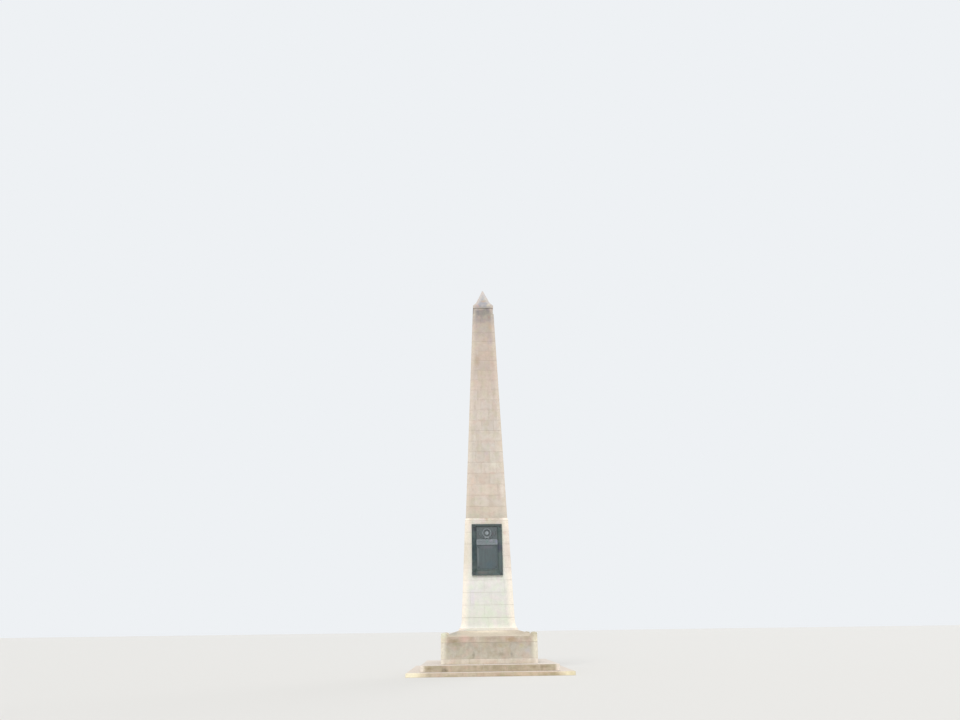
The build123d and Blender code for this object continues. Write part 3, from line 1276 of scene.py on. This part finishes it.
@dataclass
class SteppedBase:
    """The slab in the ground, the step on it, and the plinth up to its cap."""

    slab: MaterialPair
    step: MaterialPair
    plinth_base: MaterialPair
    die: MaterialPair
    cap: MaterialPair
    slab_stone: float = 0.95
    step_stone: float = 0.85
    plinth_base_stone: float = 0.42
    die_stone: float = 0.5
    worn_arris: float = 10 * MM
    worn_face: float = 3 * MM
    corner_arris: float = 6 * MM
    coping_point: float = 0.1
    pieces: list[bpy.types.Object] = field(default_factory=list)

    def build(self) -> None:
        """Builds the base from the ground up."""
        worn = {"open_top": True, "arris": self.worn_arris, "wear": self.worn_face}
        low_slot, die_slot = "slab_granite", "plinth_granite"
        # A ring's node, name and slot, how many stones each side has, and how far they reach in.
        slab = StoneRing("base_slab", "base_slab_stones", low_slot, 4, self.slab_stone, **worn)
        step = StoneRing("step_course", "step_stones", low_slot, 3, self.step_stone, flipped=True, **worn)
        foot = StoneRing("plinth_base_course", "plinth_base_stones", low_slot, 3, self.plinth_base_stone)
        die = StoneRing("plinth_die", "plinth_die_stones", die_slot, 3, self.die_stone, flipped=True)
        finishes = (self.slab, self.step, self.plinth_base, self.die)
        for ring, materials in zip((slab, step, foot, die), finishes):
            self.pieces.append(ring.build(materials))
        self.pieces.append(self.build_cap())
        self.pieces.append(self.build_corner_blocks())

    def build_cap(self) -> bpy.types.Object:
        """Builds the cap course: an upright edge, then a slope on every side up to the shaft.

        Returns:
            The finished cap.
        """
        low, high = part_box("plinth_cap")
        edge_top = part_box("cap_corner_blocks")[0].z
        foot_half = side_at("shaft_foot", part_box("shaft_foot")[0].z) / 2
        run, rise = high.x - foot_half, high.z - edge_top
        bed = StoneRing.joint / 2
        shape = add_block(Vector((low.x, low.y, low.z + bed)), Vector((high.x, high.y, high.z - bed)))
        for side in Side:
            x, y = side.carry(0, low.y)
            across, along = side.carry(0, -rise)
            cut_away(shape, Vector((x, y, edge_top)), Vector((across, along, run)))
        blocks = CutBlocks(shape, (low.x / 3, high.x / 3)).build(self.cap, "plinth_cap")
        return finish_piece(blocks, "plinth_cap_stones", ["plinth_cap"])

    def build_corner_blocks(self) -> bpy.types.Object:
        """Builds the four small blocks at the cap's corners, each coped to a low point.

        Returns:
            The finished blocks, joined.
        """
        low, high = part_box("cap_corner_blocks")
        corners = [corner.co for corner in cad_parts["cap_corner_blocks"].data.vertices]
        inner = min(corner.x for corner in corners if corner.x > 0)
        coping = max(corner.z for corner in corners if corner.x > high.x - TOUCH)
        block = add_block(Vector((inner, inner, low.z)), Vector((high.x, high.y, coping)))
        with editing(block):
            pick_top(block)
            bpy.ops.mesh.extrude_region_move(TRANSFORM_OT_translate={"value": (0, 0, high.z - coping)})
            middle = (inner + high.x) / 2
            narrow = (self.coping_point, self.coping_point, 1)
            bpy.ops.transform.resize(value=narrow, center_override=(middle, middle, high.z))
        round_arrises(block, self.corner_arris)
        dice = random.Random("corner blocks")
        blocks = [block]
        for side in (Side.RIGHT, Side.BACK, Side.LEFT):
            twin = copy_of(block)
            twin.rotation_euler.z = side.value * math.pi / 2
            blocks.append(settle(twin))
        for stone in blocks:
            stamp(stone, dice.random())
        joined = join(blocks)
        joined.data.materials.append(self.cap[0])
        return finish_piece(joined, "cap_corner_stones", ["cap_corner_blocks"])


@dataclass
class Shaft:
    """The flared foot, the lower and upper shaft with the set-off between them, the neck and the point."""

    lower: MaterialPair
    upper: MaterialPair
    depth: float = 0.32
    cove_steps: int = 8
    two_stone_width: float = 1.25
    point_arris: float = 6 * MM
    point_tone: float = 0.6
    pieces: list[bpy.types.Object] = field(default_factory=list)

    def build(self) -> None:
        """Builds the shaft from the foot to the point."""
        self.pieces.append(self.build_foot())
        lower = courses_of("lower")
        upper = courses_of("upper")
        for number, node in enumerate(lower, 1):
            name = f"lower_shaft_stones_{number:02d}"
            ring = StoneRing(node, name, "lower_granite", 2, self.depth, flipped=number % 2 == 0)
            self.pieces.append(ring.build(self.lower))
        ring = StoneRing("shaft_set_off", "shaft_set_off_stones", "lower_granite", 2, self.depth)
        self.pieces.append(ring.build(self.lower))
        for number, node in enumerate(upper, 1):
            low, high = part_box(node)
            ring = StoneRing(
                node,
                f"upper_shaft_stones_{number:02d}",
                "upper_granite",
                stones_per_side=2 if high.x - low.x > self.two_stone_width else 1,
                depth=self.depth,
                flipped=number % 2 == 0,
                open_top=node == upper[-1],
            )
            self.pieces.append(ring.build(self.upper))
        neck = StoneRing("shaft_neck", "shaft_neck_stones", "upper_granite", 1, self.depth)
        self.pieces.append(neck.build(self.upper))
        self.pieces.append(self.build_pyramidion())

    def build_foot(self) -> bpy.types.Object:
        """Builds the shaft's first course, drawn up from its fillet through a cove to the batter.

        Returns:
            The finished foot.
        """
        low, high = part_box("shaft_foot")
        bed = StoneRing.joint / 2
        fillet_top = levels_of("shaft_foot")[1]
        foot_half = side_at("shaft_foot", low.z) / 2
        top_half = side_at("shaft_foot", high.z) / 2
        corner = Vector((-foot_half, -foot_half, low.z + bed))
        foot = add_block(corner, Vector((foot_half, foot_half, fillet_top)))
        half, level = foot_half, fillet_top
        with editing(foot):
            pick_top(foot)
            for step in range(1, self.cove_steps + 1):
                turn = step / self.cove_steps * math.pi / 2
                next_half = top_half + (foot_half - top_half) * (1 - math.sin(turn))
                next_level = fillet_top + (high.z - bed - fillet_top) * (1 - math.cos(turn))
                rise = next_level - level
                bpy.ops.mesh.extrude_region_move(TRANSFORM_OT_translate={"value": (0, 0, rise)})
                shrink = next_half / half
                bpy.ops.transform.resize(value=(shrink, shrink, 1), center_override=(0, 0, next_level))
                half, level = next_half, next_level
        blocks = CutBlocks(foot, (0.0,)).build(self.lower, "shaft_foot")
        return finish_piece(blocks, "shaft_foot_stones", ["shaft_foot"])

    def build_pyramidion(self) -> bpy.types.Object:
        """Builds the pointed top: a band, a sloping shoulder and the point, worked on one stone.

        Returns:
            The finished stone.
        """
        bottom, *levels = levels_of("pyramidion")
        half = side_at("pyramidion", bottom) / 2
        base = Vector((-half, -half, bottom + StoneRing.joint / 2))
        point = add_block(base, Vector((half, half, levels[0])))
        with editing(point):
            pick_top(point)
            for below, above in zip(levels, levels[1:]):
                bpy.ops.mesh.extrude_region_move(TRANSFORM_OT_translate={"value": (0, 0, above - below)})
                shrink = side_at("pyramidion", above) / side_at("pyramidion", below)
                bpy.ops.transform.resize(value=(shrink, shrink, 1), center_override=(0, 0, above))
        round_arrises(point, self.point_arris)
        stamp(point, self.point_tone)
        point.data.materials.append(self.upper[0])
        return finish_piece(point, "pyramidion_stone", ["pyramidion"])


# The bronze tablet


@dataclass
class LeaningFace:
    """The front face that carries the tablet: right and up on the face, and out from the stone."""

    node: str = "tablet_backing_plate"
    turn: Matrix = field(init=False)
    origin: Vector = field(init=False)
    outward: Vector = field(init=False)

    def __post_init__(self) -> None:
        """Finds the face's lean and the tablet's middle from the backing plate."""
        courses = courses_of("lower")
        low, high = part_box(courses[0])
        top_low, top_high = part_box(courses[-1])
        lean = math.atan((high.x - top_high.x) / (top_low.z - low.z))
        self.turn = Matrix.Rotation(math.pi / 2 - lean, 4, "X")
        start, end = self.extent(self.node, Vector((0, 0, 0)))
        middle = Vector(((start.x + end.x) / 2, (start.y + end.y) / 2, start.z))
        self.origin = self.turn @ middle
        self.outward = self.turn @ Vector((0, 0, 1))

    def extent(self, node: str, origin: Vector | None = None) -> tuple[Vector, Vector]:
        """Measures a CAD node along the face's own directions.

        Args:
            node: The CAD node.
            origin: Where to measure from, or the tablet's middle on the stone.

        Returns:
            Its lowest and highest corner, as right, up and out.
        """
        start = self.origin if origin is None else origin
        back = self.turn.inverted()
        places = [back @ (corner.co - start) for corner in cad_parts[node].data.vertices]
        return (
            Vector((min(p.x for p in places), min(p.y for p in places), min(p.z for p in places))),
            Vector((max(p.x for p in places), max(p.y for p in places), max(p.z for p in places))),
        )

    def hang(self, piece: bpy.types.Object) -> bpy.types.Object:
        """Carries a piece from the bench, where it lies flat, onto the face."""
        piece.matrix_world = Matrix.Translation(self.origin) @ self.turn @ piece.matrix_world
        return settle(piece)


@dataclass
class Foliage:
    """Laurel worked in low relief on the bench: leaves, sprays, a wreath and a bow."""

    leaf_length: float = 76 * MM
    leaf_width: float = 27 * MM
    leaf_rib: float = 7 * MM
    leaf_edge: float = 3.5 * MM
    leaf_point: float = 0.1
    leaf_fullness: float = 0.8
    # How leaves lie on a stem: the tilt is in degrees, and the lean from the stem in radians
    leaf_tilt: float = 6
    side_lean: float = 0.55
    side_lift: float = 2 * MM
    side_size: float = 0.9
    top_lift: float = 9 * MM
    # The stems, which start some degrees past their lowest point, and the points along them
    stem: float = 5 * MM
    first_turn: float = 6
    wreath_stations: int = 14
    spray_stations: int = 10
    spray_size: float = 0.78
    # The bow's height over the ground, and half the ribbon's thickness
    bow_lift: float = 14 * MM
    ribbon: float = 2.5 * MM

    def build_leaf(self) -> bpy.types.Object:
        """Builds one laurel leaf, along +X from its stalk, pointed at both ends, with a raised midrib.

        Returns:
            The leaf.
        """
        bpy.ops.mesh.primitive_grid_add(x_subdivisions=7, y_subdivisions=4, size=1)
        leaf = bpy.context.object
        leaf.location.x = self.leaf_length / 2
        leaf.scale = (self.leaf_length, self.leaf_width, 1)
        settle(leaf)
        with editing(leaf, "VERT"):
            for station in sorted({round(corner.co.x, 5) for corner in leaf.data.vertices}):
                pick_vertices(leaf, lambda place: abs(place.x - station) < TOUCH)
                swell = math.sin(math.pi * station / self.leaf_length) ** self.leaf_fullness
                width = self.leaf_point + (1 - self.leaf_point) * swell
                bpy.ops.transform.resize(value=(1, width, 1), center_override=(station, 0, 0))
            pick_vertices(leaf, lambda place: abs(place.y) < TOUCH)
            bpy.ops.transform.translate(value=(0, 0, self.leaf_rib))
        thicken = leaf.modifiers.new("thickness", "SOLIDIFY")
        thicken.thickness = self.leaf_edge
        thicken.offset = -1
        select_only(leaf)
        bpy.ops.object.modifier_apply(modifier=thicken.name)
        return leaf

    def lay_leaves(
        self, leaf: bpy.types.Object, path: Sequence[Vector], size: float
    ) -> list[bpy.types.Object]:
        """Lays leaves along a line: one on each side of it and one on top, at each point but the last.

        Args:
            leaf: The leaf to copy.
            path: Points along the stem, in its direction of growth.
            size: The leaves' scale.

        Returns:
            The laid leaves.
        """
        beside = [(hand * self.side_lean, self.side_lift, self.side_size) for hand in (-1, 1)]
        on_top = (0.0, self.top_lift, 1.0)
        leaves = []
        for here, after in zip(path, path[1:]):
            heading = math.atan2(after.y - here.y, after.x - here.x)
            for lean, lift, share in (*beside, on_top):
                twin = copy_of(leaf)
                twin.location = (here.x, here.y, here.z + lift)
                twin.rotation_euler = (0, -math.radians(self.leaf_tilt), heading + lean)
                twin.scale = (size * share, size * share, 1)
                leaves.append(settle(twin))
        return leaves

    def build_wreath(self, centre: Vector, radius: float) -> list[bpy.types.Object]:
        """Builds two laurel branches that meet in a ring, tied with a bow.

        Args:
            centre: The ring's middle, on the ground.
            radius: The ring's radius.

        Returns:
            The ring, leaves and bow.
        """
        leaf = self.build_leaf()
        sweep = 180 - 2 * self.first_turn
        parts = []
        for hand in (-1, 1):
            path = []
            for station in range(self.wreath_stations + 1):
                turn = self.first_turn + sweep * station / self.wreath_stations
                angle = math.radians(-90 + hand * turn)
                path.append(centre + radius * Vector((math.cos(angle), math.sin(angle), 0)))
            parts.extend(self.lay_leaves(leaf, path, 1.0))
            parts.append(draw_strip(path, self.stem, self.stem))
            parts.extend(self.build_bow(centre + Vector((0, -radius, self.bow_lift)), hand))
        bpy.data.objects.remove(leaf)
        return parts

    def build_bow(self, knot: Vector, hand: int) -> list[bpy.types.Object]:
        """Builds one loop and one tail of the ribbon that ties the wreath, from lines in millimetres.

        Args:
            knot: The knot's middle.
            hand: -1 for the left, 1 for the right.

        Returns:
            The loop, the tail and half the knot.
        """
        loop = ((0, 0), (30, 22), (72, 26), (92, 4), (74, -16), (34, -14), (0, -2))
        tail = ((0, -4), (16, -22), (40, -30), (62, -44), (88, -40))
        knot_line = ((0, 12), (5, 0), (0, -12))
        parts = []
        for line, half_width in ((loop, 8 * MM), (tail, 9 * MM), (knot_line, 9 * MM)):
            points = [knot + Vector((hand * x * MM, y * MM, 0)) for x, y in line]
            parts.append(draw_strip(points, half_width, self.ribbon))
        return parts

    def build_spray(self, centre: Vector, hand: int, reach: float, rise: float) -> list[bpy.types.Object]:
        """Builds a laurel spray that grows outwards and then up beside the wreath.

        Args:
            centre: Where the sprays of both sides start, on the ground.
            hand: -1 for the left, 1 for the right.
            reach: How far out the spray goes.
            rise: How far up it goes.

        Returns:
            The stem and its leaves.
        """
        leaf = self.build_leaf()
        sweep = 90 - self.first_turn
        path = []
        for station in range(self.spray_stations + 1):
            turn = math.radians(self.first_turn + sweep * station / self.spray_stations)
            across = reach * math.sin(turn)
            up = rise * (1 - math.cos(turn))
            path.append(centre + Vector((hand * across, up, 0)))
        parts = self.lay_leaves(leaf, path, self.spray_size)
        parts.append(draw_strip(path, self.stem, self.stem))
        bpy.data.objects.remove(leaf)
        return parts


@dataclass(frozen=True)
class Rosette:
    """A round rosette of petals with a button, its parts given as shares of its radius and height."""

    radius: float
    height: float
    disc_height: float = 0.5
    rim: float = 0.12
    rim_slope: float = 0.08
    rim_drop: float = 0.12
    petals: int = 8
    petal_ring: float = 0.5
    petal_length: float = 0.3
    petal_width: float = 0.19
    petal_height: float = 0.3
    button: float = 0.24

    def build(self, foot: Vector) -> list[bpy.types.Object]:
        """Builds the rosette.

        Args:
            foot: Its middle, on what it stands on.

        Returns:
            The disc, petals and button.
        """
        thickness = self.height * self.disc_height
        seat = foot + Vector((0, 0, thickness))
        bpy.ops.mesh.primitive_cylinder_add(
            vertices=40, radius=self.radius, depth=thickness, location=(foot + seat) / 2
        )
        disc = settle(bpy.context.object)
        with editing(disc):
            pick_top(disc)
            inset_faces(self.radius * self.rim)
            inset_faces(self.radius * self.rim_slope, -self.height * self.rim_drop)
        parts = [disc]
        length, width = self.radius * self.petal_length, self.radius * self.petal_width
        petal_size = (length, width, self.height * self.petal_height)
        for petal in range(self.petals):
            angle = 2 * math.pi * petal / self.petals
            outward = Vector((math.cos(angle), math.sin(angle), 0))
            place = seat + self.radius * self.petal_ring * outward
            parts.append(add_ball(place, petal_size, segments=12, rings=8, turn=angle))
        half = self.radius * self.button
        parts.append(add_ball(seat, (half, half, thickness), segments=20, rings=10))
        return parts


@dataclass
class Tablet:
    """The bronze tablet: frame, relief panel with a wreath, rail, blank panel and corner bosses."""

    frame_bronze: PatinatedBronze
    panel_bronze: PatinatedBronze
    relief_bronze: PatinatedBronze
    rail_bronze: PatinatedBronze
    ground_bronze: PatinatedBronze
    face: LeaningFace = field(default_factory=LeaningFace)
    foliage: Foliage = field(default_factory=Foliage)
    # The frame, its beads spaced in shares of a bead's width, and its bosses
    frame_drop: float = 9 * MM
    frame_fillet: float = 24 * MM
    frame_slope: float = 6.3 * MM
    moulding: float = 46 * MM
    moulding_rise: float = 8 * MM
    moulding_fall: float = 22 * MM
    bead: float = 6 * MM
    bead_seat: float = 16 * MM
    bead_spacing: float = 1.6
    boss_radius: float = 48 * MM
    # The relief panel, its wreath, and its sprays, which reach and rise in shares of the panel's size
    relief_margin: float = 10 * MM
    relief_slope: float = 8 * MM
    relief_drop: float = 5 * MM
    relief_arris: float = 1.5 * MM
    leaf_reach: float = 32 * MM
    rosette_radius: float = 72 * MM
    rosette_height: float = 30 * MM
    spray_foot: float = 36 * MM
    spray_reach: float = 0.42
    spray_rise: float = 0.68
    # The rail and its flutes
    rail_margin: float = 30 * MM
    flutes: int = 14
    flute_rib: float = 8 * MM
    flute_slope: float = 7 * MM
    flute_depth: float = 9 * MM
    # The blank panel, the raised line on it, and the leaves in its corners
    panel_margin: float = 22 * MM
    line_slope: float = 5 * MM
    line_height: float = 5 * MM
    line_width: float = 8 * MM
    corner_margin: float = 56 * MM
    corner_leaf_sink: float = 2 * MM
    corner_leaf_size: float = 0.8
    pieces: list[bpy.types.Object] = field(default_factory=list)

    def build(self) -> None:
        """Builds the tablet, from the plate out."""
        stone = (self.face.origin, self.face.outward)
        framing = self.frame_bronze.build(*stone)
        field_skin = self.panel_bronze.build(*stone)
        relief = self.relief_bronze.build(*stone)
        rail = self.rail_bronze.build(*stone)
        ground = self.ground_bronze.build(*stone)
        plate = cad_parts["tablet_backing_plate"]
        for holder in plate.material_slots:
            holder.material = framing
        self.mount(self.build_frame(), "tablet_frame_casting", framing, ["tablet_frame"])
        self.mount(self.build_relief_panel(), "tablet_relief_ground", ground, ["tablet_relief_panel"])
        self.mount(self.build_rail(), "tablet_rail_casting", rail, ["tablet_rail"])
        self.mount(self.build_blank_panel(), "tablet_blank_panel", field_skin, ["tablet_inscription_panel"])
        self.mount(self.build_wreath(), "tablet_laurel_wreath", relief, ["tablet_wreath"])
        self.mount(self.build_sprays(), "tablet_laurel_sprays", relief, [])
        self.mount(self.build_bosses(), "tablet_boss_rosettes", ground, ["tablet_corner_bosses"])

    def mount(
        self, piece: bpy.types.Object, name: str, bronze: bpy.types.Material, nodes: Sequence[str]
    ) -> None:
        """Gives a piece its bronze and hangs it on the face.

        Args:
            piece: The piece, modelled flat on the bench.
            name: Its name.
            bronze: Its bronze.
            nodes: The CAD nodes that it stands for.
        """
        piece.data.materials.clear()
        piece.data.materials.append(bronze)
        self.pieces.append(finish_piece(self.face.hang(piece), name, nodes))

    def build_frame(self) -> bpy.types.Object:
        """Builds the frame: an outer fillet, a broad flat, a moulding that slopes in, and a line of beads.

        Returns:
            The frame and its beads.
        """
        low, high = self.face.extent("tablet_frame")
        opening_low, _ = self.face.extent("tablet_inscription_panel")
        _, opening_high = self.face.extent("tablet_relief_panel")
        middle = (opening_low + opening_high) / 2
        half = (opening_high - opening_low) / 2
        block = add_block(low, Vector((high.x, high.y, high.z - self.frame_drop)))
        with editing(block):
            pick_top(block)
            inset_faces(self.frame_drop, self.frame_drop)
            inset_faces(self.frame_fillet)
            inset_faces(self.frame_slope, -self.frame_drop)
            inset_to(block, middle, half.x + self.moulding, half.y + self.moulding)
            inset_faces(self.moulding_rise, self.frame_drop)
            inset_faces(self.bead_seat)
            inset_to(block, middle, half.x, half.y, -self.moulding_fall)
            bpy.ops.mesh.delete(type="FACE")
            pick_faces(block, lambda centre, normal: normal.z < -LOOKS_UP)
            inset_to(block, middle, half.x, half.y)
            bpy.ops.mesh.delete(type="FACE")
            bpy.ops.mesh.select_mode(type="EDGE")
            bpy.ops.mesh.select_non_manifold(extend=False)
            bpy.ops.mesh.bridge_edge_loops()
            bpy.ops.mesh.select_all(action="SELECT")
            bpy.ops.mesh.normals_make_consistent(inside=False)
        line = self.moulding - self.moulding_rise - self.bead_seat / 2
        beads = self.build_beads(middle, half.x + line, half.y + line, high.z)
        return join([block, *beads])

    def build_beads(
        self, middle: Vector, half_width: float, half_height: float, level: float
    ) -> list[bpy.types.Object]:
        """Builds a line of cast beads round the opening.

        Args:
            middle: The opening's middle.
            half_width: Half the line's width.
            half_height: Half its height.
            level: The face that the beads stand on.

        Returns:
            Four runs of beads.
        """
        size = (self.bead, self.bead, self.bead)
        runs = []
        for across, half, other in ((True, half_width, half_height), (False, half_height, half_width)):
            count = round(half / (self.bead * self.bead_spacing))
            pitch = 2 * half / count
            for hand in (-1, 1):
                x, y = (-half, hand * other) if across else (hand * other, -half + pitch)
                first = Vector((middle.x + x, middle.y + y, level))
                run = add_ball(first, size, segments=8, rings=6)
                repeat = run.modifiers.new("beads", "ARRAY")
                repeat.count = count + 1 if across else count - 1
                repeat.use_relative_offset = False
                repeat.use_constant_offset = True
                repeat.constant_offset_displace = (pitch, 0, 0) if across else (0, pitch, 0)
                bpy.ops.object.modifier_apply(modifier=repeat.name)
                runs.append(run)
        return runs

    def build_relief_panel(self) -> bpy.types.Object:
        """Builds the sunk ground behind the wreath, inside a small raised margin.

        Returns:
            The panel.
        """
        low, high = self.face.extent("tablet_relief_panel")
        panel = add_block(low, high)
        with editing(panel):
            pick_top(panel)
            inset_faces(self.relief_margin)
            inset_faces(self.relief_slope, -self.relief_drop)
        round_arrises(panel, self.relief_arris, segments=1)
        return panel

    def build_rail(self) -> bpy.types.Object:
        """Builds the raised rail, with a row of plain flutes between two fillets.

        Returns:
            The rail.
        """
        low, high = self.face.extent("tablet_rail")
        rail = add_block(low, high)
        start, end = low.x + self.rail_margin, high.x - self.rail_margin
        bottom, top = low.y + self.rail_margin, high.y - self.rail_margin
        pitch = (end - start) / self.flutes
        with editing(rail):
            for flute in range(self.flutes + 1):
                bpy.ops.mesh.select_all(action="SELECT")
                bpy.ops.mesh.bisect(plane_co=(start + pitch * flute, 0, 0), plane_no=(1, 0, 0))
            for level in (bottom, top):
                bpy.ops.mesh.select_all(action="SELECT")
                bpy.ops.mesh.bisect(plane_co=(0, level, 0), plane_no=(0, 1, 0))
            pick_faces(
                rail,
                lambda centre, normal: normal.z > LOOKS_UP
                and start < centre.x < end
                and bottom < centre.y < top,
            )
            inset_faces(self.flute_rib, each=True)
            inset_faces(self.flute_slope, -self.flute_depth, each=True)
        return rail

    def build_blank_panel(self) -> bpy.types.Object:
        """Builds a plain field inside a fine raised line, with laurel leaves in its corners.

        Returns:
            The blank panel.
        """
        low, high = self.face.extent("tablet_inscription_panel")
        panel = add_block(low, high)
        with editing(panel):
            pick_top(panel)
            inset_faces(self.panel_margin)
            inset_faces(self.line_slope, self.line_height)
            inset_faces(self.line_width)
            inset_faces(self.line_slope, -self.line_height)
        leaf = self.foliage.build_leaf()
        margin, level = self.corner_margin, high.z - self.corner_leaf_sink
        leaves = []
        for x, side in ((low.x + margin, 1), (high.x - margin, -1)):
            for y, end in ((low.y + margin, 1), (high.y - margin, -1)):
                heading = math.atan2(end, side)
                start = Vector((x, y, level))
                path = [start, start + Vector((math.cos(heading), math.sin(heading), 0))]
                leaves.extend(self.foliage.lay_leaves(leaf, path, self.corner_leaf_size))
        bpy.data.objects.remove(leaf)
        return join([panel, *leaves])

    def build_wreath(self) -> bpy.types.Object:
        """Builds the laurel wreath round its rosette, in the middle of the relief panel.

        Returns:
            The wreath.
        """
        low, high = self.face.extent("tablet_wreath")
        centre = Vector(((low.x + high.x) / 2, (low.y + high.y) / 2, low.z))
        parts = self.foliage.build_wreath(centre, (high.x - low.x) / 2 - self.leaf_reach)
        parts.extend(Rosette(self.rosette_radius, self.rosette_height).build(centre))
        return join(parts)

    def build_sprays(self) -> bpy.types.Object:
        """Builds the laurel sprays that fill the relief panel on both sides of the wreath.

        Returns:
            The two sprays, joined.
        """
        low, high = self.face.extent("tablet_relief_panel")
        start = Vector(((low.x + high.x) / 2, low.y + self.spray_foot, high.z - self.relief_drop))
        reach = (high.x - low.x) * self.spray_reach
        rise = (high.y - low.y) * self.spray_rise
        parts = []
        for hand in (-1, 1):
            parts.extend(self.foliage.build_spray(start, hand, reach, rise))
        return join(parts)

    def build_bosses(self) -> bpy.types.Object:
        """Builds a rosette boss at each corner of the frame.

        Returns:
            The four bosses, joined.
        """
        low, high = self.face.extent("tablet_corner_bosses")
        radius = self.boss_radius
        ground = low.z - self.frame_drop
        rosette = Rosette(radius, high.z - ground)
        parts = []
        for x in (low.x + radius, high.x - radius):
            for y in (low.y + radius, high.y - radius):
                parts.extend(rosette.build(Vector((x, y, ground))))
        return join(parts)


# Studio


@dataclass
class Studio:
    """A pale floor and backdrop, a soft key light from the front left, and the photograph's camera."""

    floor_tone: str = "#D4D3D0"
    floor_roughness: float = 0.9
    floor_size: float = 1200
    backdrop_tone: str = "#EEF1F4"
    sky_strength: float = 0.5
    # The lamps, with their angles in degrees; the fill is a share of the key
    key_strength: float = 2.38
    key_azimuth: float = -10
    key_elevation: float = 56
    lamp_softness: float = 30
    fill_share: float = 0.18
    fill_azimuth: float = 150
    fill_elevation: float = 35
    # The camera: its sensor in millimetres, focal length in pixels, place in metres, angles in degrees
    sensor_width: float = 36.0
    farthest: float = 2000
    focal_pixels: float = 721.0
    image_width: float = 960.0
    eye_height: float = 1.55
    eye_distance: float = 30.607
    eye_offset: float = -0.908
    pitch: float = 20.5
    yaw: float = 1.402
    roll: float = 0.77

    def build(self) -> None:
        """Sets the stage."""
        self.build_floor()
        self.build_backdrop()
        self.build_lamps()
        self.build_camera()
        bpy.context.scene.view_settings.view_transform = "Standard"

    def build_floor(self) -> None:
        """Lays a wide plain floor under the slab, in a matt pale paint."""
        bpy.ops.object.select_all(action="DESELECT")
        bpy.ops.mesh.primitive_plane_add(size=self.floor_size, location=(0, 0, 0))
        floor = bpy.context.object
        floor.name = "studio_floor"
        material, tree, _ = start_material("studio_floor_paint")
        add_shader(tree, {"Base Color": linear(self.floor_tone), "Roughness": self.floor_roughness})
        floor.data.materials.append(material)

    def build_backdrop(self) -> None:
        """Makes a world that shows as a pale backdrop and lights as a soft sky."""
        world = bpy.data.worlds.new("studio_backdrop")
        bpy.context.scene.world = world
        world.use_nodes = True
        tree = world.node_tree
        tree.nodes.clear()
        rays = add_node(tree, "ShaderNodeLightPath").outputs
        seen = calculate(tree, "MAXIMUM", rays["Is Camera Ray"], rays["Is Glossy Ray"])
        seen = calculate(tree, "MAXIMUM", seen, rays["Is Transmission Ray"])
        white = {"Color": linear("#FFFFFF"), "Strength": self.sky_strength}
        light = add_node(tree, "ShaderNodeBackground", white).outputs["Background"]
        pale = {"Color": linear(self.backdrop_tone), "Strength": 1.0}
        shown = add_node(tree, "ShaderNodeBackground", pale).outputs["Background"]
        mix = add_node(tree, "ShaderNodeMixShader", {0: seen, 1: light, 2: shown})
        add_node(tree, "ShaderNodeOutputWorld", {"Surface": mix.outputs["Shader"]})

    def build_lamps(self) -> None:
        """Hangs the key, from the front left and high, and a faint fill from behind."""
        fill_strength = self.key_strength * self.fill_share
        key = ("key_light", self.key_strength, self.key_azimuth, self.key_elevation)
        fill = ("back_fill_light", fill_strength, self.fill_azimuth, self.fill_elevation)
        for name, strength, azimuth, elevation in (key, fill):
            lamp = bpy.data.lights.new(name, "SUN")
            lamp.energy = strength
            lamp.angle = math.radians(self.lamp_softness)
            holder = bpy.data.objects.new(name, lamp)
            holder.rotation_euler = (math.radians(90 - elevation), 0, math.radians(azimuth))
            bpy.context.scene.collection.objects.link(holder)

    def build_camera(self) -> None:
        """Sets the camera: hand-held, a little to the left, tilted up and rolled by under a degree."""
        camera = bpy.data.cameras.new("photograph_camera")
        camera.sensor_width = self.sensor_width
        camera.lens = self.sensor_width * self.focal_pixels / self.image_width
        camera.clip_end = self.farthest
        holder = bpy.data.objects.new("photograph_camera", camera)
        turn = (
            Matrix.Rotation(math.radians(-self.yaw), 4, "Z")
            @ Matrix.Rotation(math.radians(90 + self.pitch), 4, "X")
            @ Matrix.Rotation(math.radians(-self.roll), 4, "Z")
        )
        eye = Matrix.Translation((self.eye_offset, -self.eye_distance, self.eye_height))
        holder.matrix_world = eye @ turn
        bpy.context.scene.collection.objects.link(holder)
        bpy.context.scene.camera = holder


def main() -> None:
    """Builds the studio, the masonry and the tablet."""
    logging.basicConfig(level=logging.INFO, format="%(name)s: %(message)s")
    Studio().build()
    mortar, pale_mortar = SHAFT_MORTAR.build(), PALE_MORTAR.build()
    base_stones = (SLAB_GRANITE, STEP_GRANITE, PLINTH_BASE_GRANITE, DIE_GRANITE, CAP_GRANITE)
    base = SteppedBase(*((granite.build(), mortar) for granite in base_stones))
    base.build()
    shaft = Shaft((LOWER_GRANITE.build(), pale_mortar), (UPPER_GRANITE.build(), mortar))
    shaft.build()
    tablet = Tablet(FRAME_BRONZE, PANEL_BRONZE, RELIEF_BRONZE, RAIL_BRONZE, GROUND_BRONZE)
    tablet.build()
    LOG.info("%d pieces", len(base.pieces) + len(shaft.pieces) + len(tablet.pieces))


if __name__ == "__main__":
    main()
